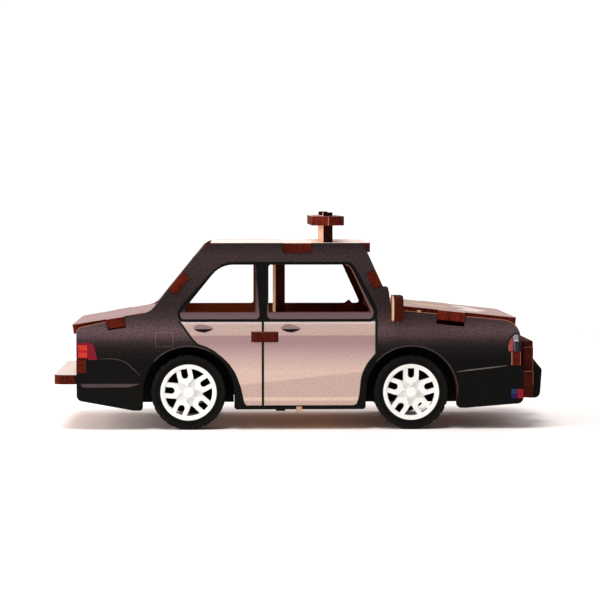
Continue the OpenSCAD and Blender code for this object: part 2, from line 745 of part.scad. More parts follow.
// Steering wheel frame: Z points out of the wheel's face, towards the driver
steer_reach = steer_d / 2 * cos(steer_ang) + ply_t * sin(steer_ang);
steer_x = dash_rear_x - steer_clear - steer_reach;
module steer_place() { translate([steer_x, steer_y, steer_z]) rotate([0, -steer_ang, 0]) children(); }
column_top = ply_t / 2;
column_len = (steer_z - deck_top) / cos(steer_ang) + column_seat;
module steering_wheel() {
    color(wood) steer_place() difference() {
        translate([0, 0, -ply_t]) linear_extrude(ply_t) {
            difference() {
                circle(d = steer_d);
                circle(d = steer_d - 2 * steer_bar);
            }
            circle(d = steer_hub_d);
            for (turn = [90, 210, 330]) rotate(turn) translate([0, -steer_bar / 2])
                square([steer_d / 2 - steer_bar / 2, steer_bar]);
        }
        translate([0, 0, -ply_t - cut]) cylinder(d = column_d + fit_gap, h = column_top + cut);
    }
}
module steering_column() {
    color(wood) steer_place() translate([0, 0, -column_len])
        cylinder(d = column_d, h = column_len - column_top - fit_gap);
}

// Axle rail: a board on edge that carries both axles and ties the floor, deck and end panels together
module rail_outline() {
    back = rear_face_x + ply_t + fit_gap;
    front = front_panel_x - fit_gap;
    rest = floor_top + fit_gap;
    top = deck_z - fit_gap;
    ear_out = axle_x + arch_r + rail_over;
    floor_end = floor_len / 2 + 2 * fit_gap;
    union() {
        polygon(concat(
            [[back, rail_end_z], [-ear_out, rail_z], [-floor_end, rail_z], [-floor_end, rest]],
            [[floor_end, rest], [floor_end, rail_z], [ear_out, rail_z]],
            [[front, rail_end_z], [front, top], [back, top]]));
        for (end = [-1, 1]) translate([end * rail_tab_x - rail_tab_len / 2, floor_z + fit_gap])
            square([rail_tab_len, deck_top - floor_z - 2 * fit_gap]);
        translate([rear_face_x, rail_end_tab_z - rail_end_tab_h / 2])
            square([front_face_x - rear_face_x, rail_end_tab_h]);
    }
}
module axle_rail(y) {
    color(wood) difference() {
        upright_board(y) difference() {
            rail_outline();
            translate([firewall_x - fit_gap, firewall_z - fit_gap]) square([ply_t + 2 * fit_gap, far]);
        }
        for (end = [-1, 1]) translate([end * axle_x, y + ply_t / 2, axle_z])
            rotate([90, 0, 0]) cylinder(r = axle_d / 2 + axle_gap, h = ply_t + 2 * cut, center = true);
    }
}
module axle_rail_right() { axle_rail(-rail_half); }
module axle_rail_left() { axle_rail(rail_half - ply_t); }

// Mirror: a rounded plate that straddles the side panel's edge
module mirror_plate() {
    in_y = inner_half - mirror_lip;
    out_y = half_w + mirror_out;
    color(wood) cross_board(mirror_x) difference() {
        polygon(rounded([[-out_y, mirror_z, mirror_r], [-in_y, mirror_z, mirror_r / 2],
            [-in_y, mirror_z + mirror_h, mirror_r], [-out_y, mirror_z + mirror_h, mirror_r]]));
        translate([-half_w - fit_gap, mirror_z - cut])
            square([ply_t + 2 * fit_gap, mirror_seat_z + fit_gap - mirror_z + cut]);
    }
}
module mirror_right() { mirror_plate(); }
module mirror_left() { mirror([0, 1, 0]) mirror_plate(); }

// Light bar: a web through the roof, and a pointed plate on the web's tabs
module light_bar_web() {
    color("ivory") cross_board(light_x - ply_t / 2) union() {
        translate([-web_w / 2, roof_z + fit_gap]) square([web_w, light_rise - 2 * fit_gap]);
        for (side = [-1, 1]) translate([side * web_tab_y - web_tab_w / 2, roof_under])
            square([web_tab_w, plate_top + web_proud - roof_under]);
    }
}
module light_bar_plate() {
    tip = light_len / 2;
    wide = light_w / 2;
    neck = tip - light_point;
    color("royalblue") flat_board(plate_z) difference() {
        translate([light_x, 0])
            polygon([[0, -tip], [wide, -neck], [wide, neck], [0, tip], [-wide, neck], [-wide, -neck]]);
        for (side = [-1, 1]) translate([light_x, side * web_tab_y])
            square([ply_t + 2 * fit_gap, web_tab_w + 2 * fit_gap], center = true);
    }
}

module axle(x) {
    color(steel) translate([x, 0, axle_z]) rotate([90, 0, 0])
        cylinder(d = axle_d, h = 2 * axle_end, center = true);
}
module front_axle() { axle(axle_x); }
module rear_axle() { axle(-axle_x); }

// Wheel frame: Z points outwards along the axle from the car's middle
module wheel_place(x, side, turn) {
    translate([x, 0, axle_z]) rotate([-90 * side, 0, 0]) rotate([0, 0, turn]) children();
}

// Openings of the spoke disc: triangles between the double spokes and a slot in each of them
module spoke_openings() {
    open_r = rim_r - flange_w;
    difference() {
        circle(r = open_r);
        circle(r = hub_disc_r);
        for (k = [0 : spokes - 1]) rotate(k * 360 / spokes)
            translate([0, -spoke_w / 2]) square([rim_d, spoke_w]);
    }
    for (k = [0 : spokes - 1]) rotate(k * 360 / spokes) {
        translate([hub_disc_r + slot_w / 2, 0]) circle(d = slot_w);
        translate([hub_disc_r + slot_w / 2, -slot_w / 2])
            square([open_r - hub_disc_r - slot_w / 2, slot_w]);
    }
}
// Raised faces of the disc: the double spokes with round inner ends, and the flange
module spoke_faces() {
    for (k = [0 : spokes - 1]) rotate(k * 360 / spokes) {
        translate([spoke_root_r, 0]) circle(d = spoke_w);
        translate([spoke_root_r, -spoke_w / 2]) square([rim_r - flange_w / 2 - spoke_root_r, spoke_w]);
    }
    difference() {
        circle(r = rim_r - barrel_t / 2);
        circle(r = rim_r - flange_w);
    }
}
module rim() {
    disc_back = spoke_face - spoke_t;
    barrel_back = wheel_back + rim_lip;
    color(rim_white) difference() {
        union() {
            translate([0, 0, barrel_back]) linear_extrude(rim_face - barrel_back) difference() {
                circle(r = rim_r);
                circle(r = rim_r - barrel_t);
            }
            translate([0, 0, disc_back]) linear_extrude(spoke_t - spoke_relief) difference() {
                circle(r = rim_r - barrel_t / 2);
                spoke_openings();
            }
            translate([0, 0, disc_back + spoke_t / 2]) linear_extrude(spoke_t / 2) difference() {
                intersection() {
                    circle(r = rim_r - barrel_t / 2);
                    spoke_faces();
                }
                spoke_openings();
            }
            translate([0, 0, hub_end]) cylinder(r = boss_r, h = disc_back + spoke_t / 2 - hub_end);
            translate([0, 0, disc_back + spoke_t / 2]) cylinder(r = cap_r, h = spoke_t / 2 + rim_lip);
        }
        translate([0, 0, hub_end - cut]) cylinder(d = axle_d, h = axle_end - hub_end + cut);
    }
}
// Slots of the front wheels stand upright in the photograph, and those of the rear wheels lean
front_turn = 90;
rear_turn = 102;
module front_right_rim() { wheel_place(axle_x, -1, front_turn) rim(); }
module front_left_rim() { wheel_place(axle_x, 1, -front_turn) rim(); }
module rear_right_rim() { wheel_place(-axle_x, -1, rear_turn) rim(); }
module rear_left_rim() { wheel_place(-axle_x, 1, -rear_turn) rim(); }

// Tyre: a turned ring with a bead, a sidewall step and grooved shoulders
module tyre() {
    bore = rim_r + tyre_seat;
    out = tyre_d / 2;
    wall = bore + bead_h;
    color(tyre_black) difference() {
        translate([0, 0, wheel_back]) rotate_extrude() polygon(rounded([
            [bore, rim_lip, 0], [wall, rim_lip, 0], [wall, 0, 0], [out, 0, shoulder_r],
            [out, tyre_w, shoulder_r], [wall, tyre_w, 0], [wall, tyre_w - rim_lip, 0],
            [bore, tyre_w - rim_lip, 0]]));
        for (k = [0 : treads - 1], end = [0, 1]) rotate(360 * (k + end / 2) / treads)
            translate([out - tread_depth, -tread_w / 2, wheel_back + end * (tyre_w - tread_len)])
                cube([far, tread_w, tread_len]);
    }
}
module front_right_tyre() { wheel_place(axle_x, -1, 0) tyre(); }
module front_left_tyre() { wheel_place(axle_x, 1, 0) tyre(); }
module rear_right_tyre() { wheel_place(-axle_x, -1, 0) tyre(); }
module rear_left_tyre() { wheel_place(-axle_x, 1, 0) tyre(); }

side_panel_right();
side_panel_left();
roof_panel();
windscreen_frame();
rear_window_frame();
hood_panel();
trunk_lid();
front_panel();
front_bumper();
push_bar_right();
push_bar_left();
rear_panel();
rear_bumper();
floor_board();
deck_board();
partition_board();
firewall_board();
dashboard();
steering_wheel();
steering_column();
axle_rail_right();
axle_rail_left();
mirror_right();
mirror_left();
light_bar_web();
light_bar_plate();
front_axle();
rear_axle();
front_right_rim();
front_left_rim();
rear_right_rim();
rear_left_rim();
front_right_tyre();
front_left_tyre();
rear_right_tyre();
rear_left_tyre();
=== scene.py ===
"""Looks of a toy patrol car made of printed plywood boards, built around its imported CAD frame."""

import math

import bmesh
import bpy
from bpy.props import FloatProperty, FloatVectorProperty, IntProperty, PointerProperty
from bpy.types import Operator, Panel, PropertyGroup
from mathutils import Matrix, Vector
from mathutils.geometry import tessellate_polygon


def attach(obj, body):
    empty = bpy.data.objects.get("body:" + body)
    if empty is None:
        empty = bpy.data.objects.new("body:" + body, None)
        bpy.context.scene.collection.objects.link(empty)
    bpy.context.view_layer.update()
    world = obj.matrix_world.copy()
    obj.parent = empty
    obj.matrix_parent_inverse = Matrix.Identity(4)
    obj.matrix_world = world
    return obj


bl_info = {
    "name": "Printed Board Patrol Car",
    "version": (1, 0, 0),
    "blender": (4, 5, 0),
    "location": "View3D > Sidebar > Patrol Car",
    "description": "Board, print, wheel and stage finishes for a toy patrol car",
    "category": "Object",
}

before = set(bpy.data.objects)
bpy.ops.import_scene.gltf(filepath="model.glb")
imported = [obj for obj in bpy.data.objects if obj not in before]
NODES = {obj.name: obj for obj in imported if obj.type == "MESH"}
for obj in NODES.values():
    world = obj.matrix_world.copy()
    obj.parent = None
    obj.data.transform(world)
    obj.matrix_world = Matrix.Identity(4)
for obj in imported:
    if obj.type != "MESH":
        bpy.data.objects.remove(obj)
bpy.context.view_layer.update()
MM = 0.001

# Faces of the boards that carry printing, in millimetres
SIDE_FACE = 31.0
TAB_FACE = 31.3
BUMPER_LOW_FACE = 31.0
BUMPER_MID_FACE = 30.2
PLATE_TIP = 26.0
BUMPER_FACE = 75.05
REAR_FACE = 71.5
PLATE_TOP = 68.4
# Axles and the arches over them, in millimetres
AXLE_X = 35.75
AXLE_Z = 12.0
ARCH_R = 14.65
# Slopes of the sheets that lean, in degrees
SCREEN_ANGLE = 65.4
BACKLIGHT_ANGLE = 50.9
HOOD_ANGLE = 6.0
TRUNK_ANGLE = 9.5
STEER_ANGLE = 41.0
# Prints: depth under the board's face, height of one layer, and the first layer's height
PRINT_ROOT = 0.02
PRINT_STEP = 0.02
PRINT_BASE = 0.01
# Specular level of ink and of burnt board
DULL = 0.06


def linear(value):
    """One sRGB channel from 0 to 255 as a linear value."""
    v = value / 255
    return v / 12.92 if v <= 0.04045 else ((v + 0.055) / 1.055) ** 2.4


def rgb(r, g, b):
    """An sRGB colour as a linear colour."""
    return (linear(r), linear(g), linear(b))


def scaled(colour, share):
    """A colour times a number, white at most."""
    return [min(1.0, c * share) for c in colour]


def colour_prop(name, description, default):
    """A colour that a user may change."""
    return FloatVectorProperty(name=name, description=description, default=default, subtype="COLOR",
                               size=3, min=0.0, max=1.0)


def power_prop(name, description, default):
    """The power of a lamp, which a user may change."""
    return FloatProperty(name=name, description=description, default=default, unit="POWER", min=0.0)


class BoardLooks(PropertyGroup):
    """Colours of the bare and burnt board."""
    ply: colour_prop("Bare ply", "Fresh face of the plywood", rgb(226, 182, 146))
    russet: colour_prop("Inner stain", "Inner face of the printed boards", rgb(104, 46, 22))
    burnt: colour_prop("Burnt edge", "Edge left by the laser", rgb(104, 31, 17))
    char: colour_prop("Char", "Darkest streaks of a burnt edge", rgb(34, 10, 6))


class PrintLooks(PropertyGroup):
    """Colours of the printing."""
    graphite: colour_prop("Graphite", "Printed body colour at its brightest", rgb(96, 76, 79))
    black: colour_prop("Black", "Printed black", rgb(14, 14, 13))
    door: colour_prop("Door", "Pale door colour", rgb(219, 190, 178))
    red: colour_prop("Red lamp", "Tail lamp colour", rgb(124, 25, 41))
    amber: colour_prop("Amber lamp", "Turn lamp colour", rgb(148, 74, 62))
    blue: colour_prop("Blue lamp", "Beacon and marker blue", rgb(40, 64, 112))
    silver: colour_prop("Silver lamp", "Bright part of a head lamp", rgb(186, 180, 188))


class WheelLooks(PropertyGroup):
    """Sizes and colours of the wheels."""
    rim: colour_prop("Rim", "Moulded rim colour", rgb(254, 255, 250))
    tyre: colour_prop("Tyre", "Rubber colour", rgb(17, 16, 15))
    ribs: IntProperty(name="Sidewall ribs", description="Ribs round each sidewall", default=72,
                      min=12, max=180)
    rib_height: FloatProperty(name="Rib height", description="How far a rib stands out", default=0.00012,
                              unit="LENGTH", min=0.0, max=0.0005, precision=5)


class StageLooks(PropertyGroup):
    """Light and floor."""
    floor: colour_prop("Floor", "Studio floor colour", (1.0, 0.93, 0.91))
    sky: FloatProperty(name="Sky", description="Strength of the light from the camera's side", default=0.2,
                       min=0.0)
    low_sky: colour_prop("Low sky", "Colour of the low light from behind the car", (1.0, 0.7, 0.62))
    backdrop: FloatProperty(name="Backdrop", description="Brightness of the background", default=1.05,
                            min=0.0)
    top: power_prop("Top", "Power of the lamp overhead", 24.0)
    left: power_prop("Left", "Power of the low lamp behind the tail", 2.5)
    key: power_prop("Key", "Power of the main lamp", 4.5)
    lens: FloatProperty(name="Lens", description="Focal length", default=133.9, unit="CAMERA", min=10.0)


class PatrolCar(PropertyGroup):
    """All settings of the car's looks."""
    boards: PointerProperty(type=BoardLooks)
    prints: PointerProperty(type=PrintLooks)
    wheels: PointerProperty(type=WheelLooks)
    stage: PointerProperty(type=StageLooks)


class Nodes:
    """A node tree while it is put together."""

    def __init__(self, tree):
        self.tree = tree

    def add(self, kind, **settings):
        node = self.tree.nodes.new(kind)
        for key, value in settings.items():
            setattr(node, key, value)
        return node

    def put(self, socket, value):
        """Links or sets an input."""
        if isinstance(value, bpy.types.NodeSocket):
            self.tree.links.new(value, socket)
        elif socket.type == "RGBA":
            socket.default_value = (*value[:3], 1.0)
        else:
            socket.default_value = value

    def math(self, operation, a, b=0.0, clamp=False):
        node = self.add("ShaderNodeMath", operation=operation, use_clamp=clamp)
        self.put(node.inputs[0], a)
        self.put(node.inputs[1], b)
        return node.outputs[0]

    def dot(self, vector, axis):
        node = self.add("ShaderNodeVectorMath", operation="DOT_PRODUCT")
        self.put(node.inputs[0], vector)
        self.put(node.inputs[1], axis)
        return node.outputs["Value"]

    def mix(self, factor, a, b, blend="MIX"):
        node = self.add("ShaderNodeMix", data_type="RGBA", blend_type=blend)
        self.put(node.inputs["Factor"], factor)
        self.put(node.inputs[6], a)
        self.put(node.inputs[7], b)
        return node.outputs[2]

    def times(self, colour, shade):
        return self.mix(1.0, colour, shade, "MULTIPLY")

    def span(self, value, low, high, to_low=0.0, to_high=1.0):
        node = self.add("ShaderNodeMapRange")
        for key, number in zip(("Value", "From Min", "From Max", "To Min", "To Max"),
                               (value, low, high, to_low, to_high)):
            self.put(node.inputs[key], number)
        return node.outputs["Result"]

    def ramp(self, factor, stops):
        node = self.add("ShaderNodeValToRGB")
        bands = node.color_ramp.elements
        while len(bands) < len(stops):
            bands.new(1.0)
        for band, (at, colour) in zip(bands, stops):
            band.position = at
            band.color = (*colour[:3], 1.0)
        self.put(node.inputs["Fac"], factor)
        return node.outputs["Color"]


class Finish(Nodes):
    """A node material while it is put together."""

    def __init__(self, name):
        self.mat = bpy.data.materials.new(name)
        self.mat.use_nodes = True
        super().__init__(self.mat.node_tree)
        self.tree.nodes.clear()
        out = self.add("ShaderNodeOutputMaterial")
        self.bsdf = self.add("ShaderNodeBsdfPrincipled")
        self.put(out.inputs["Surface"], self.bsdf.outputs["BSDF"])
        coord = self.add("ShaderNodeTexCoord")
        self.place, self.normal = coord.outputs["Object"], coord.outputs["Normal"]

    def set(self, **inputs):
        """Inputs of the shader, named with underscores for spaces."""
        for key, value in inputs.items():
            self.put(self.bsdf.inputs[key.replace("_", " ")], value)

    def noise(self, stretch, detail=3.0, rough=0.55, shift=(0.0, 0.0, 0.0)):
        """Noise whose frequency along X, Y and Z is given per metre."""
        mapping = self.add("ShaderNodeMapping")
        self.put(mapping.inputs["Vector"], self.place)
        self.put(mapping.inputs["Scale"], stretch)
        self.put(mapping.inputs["Location"], shift)
        node = self.add("ShaderNodeTexNoise")
        self.put(node.inputs["Vector"], mapping.outputs["Vector"])
        for key, number in (("Scale", 1.0), ("Detail", detail), ("Roughness", rough)):
            self.put(node.inputs[key], number)
        return node.outputs["Fac"]

    def bump(self, height, strength, distance):
        node = self.add("ShaderNodeBump")
        for key, value in (("Height", height), ("Strength", strength), ("Distance", distance)):
            self.put(node.inputs[key], value)
        self.put(self.bsdf.inputs["Normal"], node.outputs["Normal"])

    def axis(self, index):
        """One coordinate of the place, in metres."""
        node = self.add("ShaderNodeSeparateXYZ")
        self.put(node.inputs[0], self.place)
        return node.outputs[index]


def looks():
    """All settings of the scene's car."""
    return bpy.context.scene.patrol_car


def lean(degrees, forward):
    """Outward normal of a sheet that leans from the level by degrees, towards the front or the rear."""
    turn = math.radians(degrees)
    return (math.sin(turn) * forward, 0.0, math.cos(turn))


# Body print: heights as shares of BODY_TOP, each with its share of graphite over black
BODY_TOP = 60.0
BODY_SHADES = (
    (0.0, 0.0), (0.37, 0.0), (0.41, 0.05), (0.442, 0.1), (0.474, 0.3), (0.506, 0.78), (0.538, 0.93),
    (0.57, 0.62), (0.6, 0.4), (0.66, 0.22), (0.72, 0.22), (0.82, 0.3), (0.93, 0.36), (1.0, 0.16))
# Where the body print ends its fade towards the nose, and how dark it is there
FADE_END = 45.0
FADE_SHADE = 0.82
# Heights of the door print, of its wave's foot, of the strip round the windows and of the filler door
DOOR_SPAN = (7.0, 35.0)
WAVE_FOOT = (10.35, 10.65)
BELT_SPAN = (35.0, 50.0)
SEAM_SPAN = (26.5, 31.7)
# The wave's rise along the door, its height at the car's middle and half the width of its soft edge
WAVE_SLOPE = 0.1066
WAVE_HEIGHT = 16.5
WAVE_SOFT = 0.3
# Streaks of a burnt edge for each metre, along its length and through the sheet
STREAKS_ALONG = 2600
STREAKS_THROUGH = 350
# How squarely a face of a sheet looks along its axis, and the roughness of its edges
FACING = 0.6
EDGE_ROUGH = 0.8


def heights(f, span):
    """The height over a span in millimetres, from 0 to 1."""
    return f.span(f.axis(2), span[0] * MM, span[1] * MM)


# Faces of a board: each takes a finish under way and gives the colour of that face
def face_graphite(f):
    """Body print: black below, graphite at the shoulder, darker up the pillars and towards the nose."""
    p = looks().prints
    height = heights(f, (0.0, BODY_TOP))
    colour = f.ramp(height, [(at, [k + (g - k) * share for g, k in zip(p.graphite, p.black)])
                             for at, share in BODY_SHADES])
    speckle = f.span(f.noise((2100, 2100, 2100), detail=2), 0.25, 0.75, 0.42, 1.58)
    streak = f.span(f.noise((260, 260, 4200), detail=3), 0.3, 0.7, 0.95, 1.05)
    fade = f.span(f.axis(0), 0.0, FADE_END * MM, 1.0, FADE_SHADE)
    return f.times(colour, f.math("MULTIPLY", fade, f.math("MULTIPLY", speckle, streak)))


def face_plain(colour, low=0.86, high=1.08):
    """Print of one colour, with the board's grain showing through."""
    def paint(f):
        grain = f.span(f.noise((420, 2600, 900), detail=4), 0.3, 0.7, low, high)
        return f.times(colour, grain)
    return paint


def face_ply(f):
    """Bare plywood: long grain with darker pores."""
    ply = looks().boards.ply
    grain = f.noise((240, 3000, 900), detail=5, rough=0.6)
    pores = f.span(f.noise((700, 14000, 5000), detail=2), 0.58, 0.72, 1.0, 0.8)
    colour = f.ramp(grain, [(0.25, scaled(ply, 0.78)), (0.55, ply), (0.8, scaled(ply, 1.12))])
    return f.times(colour, pores)


def face_russet(f):
    """Dark red-brown inner face of a printed board."""
    russet = looks().boards.russet
    grain = f.noise((220, 900, 3800), detail=4)
    return f.ramp(grain, [(0.25, scaled(russet, 0.45)), (0.6, russet), (0.9, scaled(russet, 1.25))])


def face_door(f):
    """Pale door print: soft level bands above, and a rising wave below."""
    door = looks().prints.door

    def tint(r, g, b):
        return (door[0] * r, door[1] * g, door[2] * b)

    height = heights(f, DOOR_SPAN)
    colour = f.ramp(height, [
        (0.0, tint(0.78, 0.75, 0.77)), (0.078, tint(0.8, 0.77, 0.78)), (0.092, tint(1.03, 1.05, 1.01)),
        (0.112, tint(1.03, 1.05, 1.01)), (0.125, tint(0.98, 0.98, 0.98)), (0.42, tint(0.96, 0.97, 0.96)),
        (0.6, tint(0.72, 0.7, 0.75)), (0.74, tint(0.53, 0.47, 0.55)), (0.824, tint(0.51, 0.45, 0.53)),
        (0.842, tint(0.74, 0.72, 0.74)), (0.955, tint(0.74, 0.75, 0.76)), (0.975, tint(0.86, 1.0, 1.1)),
        (1.0, tint(0.88, 1.03, 1.14))])
    rise = f.math("ADD", f.math("MULTIPLY", f.axis(0), WAVE_SLOPE), WAVE_HEIGHT * MM)
    below = f.span(f.math("SUBTRACT", f.axis(2), rise), -WAVE_SOFT * MM, WAVE_SOFT * MM, 1.0, 0.0)
    wave = f.math("MULTIPLY", below, heights(f, WAVE_FOOT))
    colour = f.mix(wave, colour, f.times(colour, (0.82, 0.8, 0.82)))
    grain = f.span(f.noise((2700, 1000, 1300), detail=3), 0.25, 0.75, 0.83, 1.16)
    return f.times(colour, grain)


def face_belt(f):
    """Strip round the window openings: dark up the pillars and rosy along the sill."""
    height = heights(f, BELT_SPAN)
    colour = f.ramp(height, [(0.0, rgb(104, 92, 94)), (0.17, rgb(107, 80, 84)), (0.3, rgb(88, 71, 74)),
                             (1.0, rgb(58, 48, 50))])
    grain = f.span(f.noise((2400, 1000, 2400), detail=2), 0.25, 0.75, 0.76, 1.22)
    return f.times(colour, grain)


def face_seam(f):
    """Fine seam of the filler door, lighter than the body print at each height."""
    return f.ramp(heights(f, SEAM_SPAN), [(0.0, rgb(66, 58, 59)), (1.0, rgb(122, 99, 104))])


def burnt_edge(f, axis, burn, toast):
    """Edge cut by the laser: red-brown, with char streaks that run through the sheet's thickness."""
    b = looks().boards
    stretch = [STREAKS_ALONG if abs(a) < 0.5 else STREAKS_THROUGH for a in axis]
    streaks = f.noise(stretch, detail=4, rough=0.65)
    patches = f.noise((160, 160, 160), detail=2, shift=(3.1, 1.7, 0.4))
    tone = scaled(b.burnt, toast)
    colour = f.ramp(streaks, [(0.3, b.char), (0.5, scaled(tone, 0.8)), (0.7, scaled(tone, 1.05))])
    colour = f.mix(f.span(patches, 0.4, 0.7, 0.0, 0.55), colour, b.char)
    return f.mix(burn, colour, scaled(b.char, 0.6))


def board_finish(name, axis, front, back, shine=0.42, gloss=DULL, burn=0.0, toast=1.0):
    """A sheet whose front looks along axis. Burn chars its edges and toast lights them."""
    f = Finish(name)
    facing = f.dot(f.normal, axis)
    on_front = f.math("GREATER_THAN", facing, FACING)
    on_back = f.math("LESS_THAN", facing, -FACING)
    colour = f.mix(on_front, burnt_edge(f, axis, burn, toast), front(f))
    colour = f.mix(on_back, colour, back(f))
    fibre = f.noise((1500, 5200, 5200), detail=3)
    flat = f.math("ADD", on_front, on_back, clamp=True)
    rough = f.math("SUBTRACT", EDGE_ROUGH, f.math("MULTIPLY", flat, EDGE_ROUGH - shine))
    f.set(Base_Color=colour, Roughness=f.math("ADD", rough, f.span(fibre, 0.3, 0.7, -0.04, 0.06)),
          Specular_IOR_Level=f.span(flat, 0.0, 1.0, DULL, gloss))
    f.bump(fibre, 0.12, 0.00006)
    return f.mat


def side_finish(name, side):
    """A side panel: its print faces outwards on its own side."""
    return board_finish(name, (0.0, side, 0.0), face_graphite, face_russet, 0.45)


def print_finish(name, paint, shine=0.42):
    """Ink on a board."""
    f = Finish(name)
    fibre = f.noise((2600, 2600, 5200), detail=3)
    f.set(Base_Color=paint(f), Roughness=f.span(fibre, 0.3, 0.7, shine - 0.05, shine + 0.07),
          Specular_IOR_Level=DULL)
    f.bump(fibre, 0.08, 0.00004)
    return f.mat


def ink(name, colour, shine=0.42):
    """Ink of one colour."""
    return print_finish(name, face_plain(colour, 0.9, 1.06), shine)


# Outlines: the half angle of a corner taken as straight, and the width at the ends of a tapered line
STRAIGHT = math.radians(89)
TAPER = 0.35


def rounded(points, steps=8):
    """Outline from corners (x, y, radius)."""
    out = []
    count = len(points)
    for i, (x, y, r) in enumerate(points):
        here = Vector((x, y))
        u = Vector(points[i - 1][:2]) - here
        v = Vector(points[(i + 1) % count][:2]) - here
        half = u.angle(v) / 2
        if r <= 0 or half > STRAIGHT:
            out.append((x, y))
            continue
        reach = min(r / math.tan(half), 0.49 * min(u.length, v.length))
        radius = reach * math.tan(half)
        centre = here + (u.normalized() + v.normalized()).normalized() * (radius / math.sin(half))
        start = here + u.normalized() * reach - centre
        end = here + v.normalized() * reach - centre
        a0 = math.atan2(start.y, start.x)
        sweep = (math.atan2(end.y, end.x) - a0 + 3 * math.pi) % (2 * math.pi) - math.pi
        for k in range(steps + 1):
            a = a0 + sweep * k / steps
            out.append((centre.x + radius * math.cos(a), centre.y + radius * math.sin(a)))
    return out


def box_loop(x0, y0, x1, y1, r=0.0):
    """A box between two corners."""
    return rounded([(x0, y0, r), (x1, y0, r), (x1, y1, r), (x0, y1, r)])


def ribbon(points, width, taper=False):
    """Outline of a line of the given width, thinner at its ends if it tapers."""
    left, right = [], []
    last = len(points) - 1
    for i, point in enumerate(points):
        a, b = Vector(points[max(i - 1, 0)]), Vector(points[min(i + 1, last)])
        along = (b - a).normalized()
        half = width / 2 * (TAPER if taper and i in (0, last) else 1.0)
        across = Vector((-along.y, along.x)) * half
        left.append(tuple(Vector(point) + across))
        right.append(tuple(Vector(point) - across))
    return left + right[::-1]


def ring(points, width):
    """A closed line as an outline and its hole."""
    count = len(points)
    outer, inner = [], []
    for i, point in enumerate(points):
        along = (Vector(points[(i + 1) % count]) - Vector(points[i - 1])).normalized()
        across = Vector((along.y, -along.x)) * width / 2
        outer.append(tuple(Vector(point) + across))
        inner.append(tuple(Vector(point) - across))
    return [outer, inner]


def arc(x, z, r, start, end, steps=28):
    """Points on an arc, with angles in degrees from the front."""
    turns = [math.radians(start + (end - start) * k / steps) for k in range(steps + 1)]
    return [(x + r * math.cos(t), z + r * math.sin(t)) for t in turns]


# Places of a print: two coordinates on the face and a height over it, all in millimetres
def on_side(side, face=SIDE_FACE):
    return lambda u, v, h: Vector((u, side * (face + h), v)) * MM


def on_front(u, v, h):
    return Vector((BUMPER_FACE + h, u, v)) * MM


def on_rear(u, v, h):
    return Vector((-REAR_FACE - h, u, v)) * MM


def on_plate(u, v, h):
    return Vector((u, v, PLATE_TOP + h)) * MM


def on_slope(x0, z0, normal):
    """A leaning sheet through (x0, z0) with that outward normal."""
    drop = normal[0] / normal[2]
    return lambda u, v, h: Vector((u + h * normal[0], v, z0 - (u - x0) * drop + h * normal[2])) * MM


def add_print(bm, loops, layer, place):
    """Adds a thin closed sheet: the first loop is its outline and the others are holes."""
    low, high = -PRINT_ROOT, PRINT_BASE + PRINT_STEP * layer
    flat = [p for loop in loops for p in loop]
    under = [bm.verts.new(place(u, v, low)) for u, v in flat]
    over = [bm.verts.new(place(u, v, high)) for u, v in flat]
    made = []
    for a, b, c in tessellate_polygon([[Vector((u, v, 0.0)) for u, v in loop] for loop in loops]):
        made.append(bm.faces.new((over[a], over[b], over[c])))
        made.append(bm.faces.new((under[c], under[b], under[a])))
    start = 0
    for loop in loops:
        count = len(loop)
        for i in range(count):
            a, b = start + i, start + (i + 1) % count
            made.append(bm.faces.new((under[a], under[b], over[b], over[a])))
        start += count
    bmesh.ops.recalc_face_normals(bm, faces=made)


def finish_piece(name, mesh, body):
    """Links a finished mesh as a piece that rides on a body."""
    piece = bpy.data.objects.new(name, mesh)
    bpy.context.collection.objects.link(piece)
    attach(piece, body)
    return piece


def print_piece(name, shapes, layer, place, material):
    """One piece from several printed shapes of one ink."""
    bm = bmesh.new()
    for loops in shapes:
        add_print(bm, loops, layer, place)
    mesh = bpy.data.meshes.new(name)
    bm.to_mesh(mesh)
    bm.free()
    mesh.materials.append(material)
    return finish_piece(name, mesh, "car")


# Geometry node trees
STUD_SIDES = 12


def new_tree(name, inputs):
    """A tree with named inputs, a material and one mesh output."""
    tree = bpy.data.node_groups.new(name, "GeometryNodeTree")
    tree.interface.new_socket("Mesh", in_out="OUTPUT", socket_type="NodeSocketGeometry")
    for label, kind in (*inputs, ("Material", "Material")):
        tree.interface.new_socket(label, in_out="INPUT", socket_type=f"NodeSocket{kind}")
    return tree, tree.nodes.new("NodeGroupInput"), tree.nodes.new("NodeGroupOutput")


def feed(given, *wires):
    """Links inputs of a tree: each wire has an input's name, a node and one of its sockets."""
    for label, node, socket in wires:
        given.id_data.links.new(given.outputs[label], node.inputs[socket])


def copies_on(tree, points, thing):
    """Copies of a mesh on points."""
    copies = tree.nodes.new("GeometryNodeInstanceOnPoints")
    tree.links.new(points.outputs["Mesh"], copies.inputs["Points"])
    tree.links.new(thing.outputs["Mesh"], copies.inputs["Instance"])
    return copies


def close_tree(tree, source, given, out):
    """Realizes the instances, gives them their material and ends the tree."""
    real = tree.nodes.new("GeometryNodeRealizeInstances")
    paint = tree.nodes.new("GeometryNodeSetMaterial")
    tree.links.new(source, real.inputs[0])
    tree.links.new(real.outputs[0], paint.inputs["Geometry"])
    feed(given, ("Material", paint, "Material"))
    tree.links.new(paint.outputs[0], out.inputs["Mesh"])


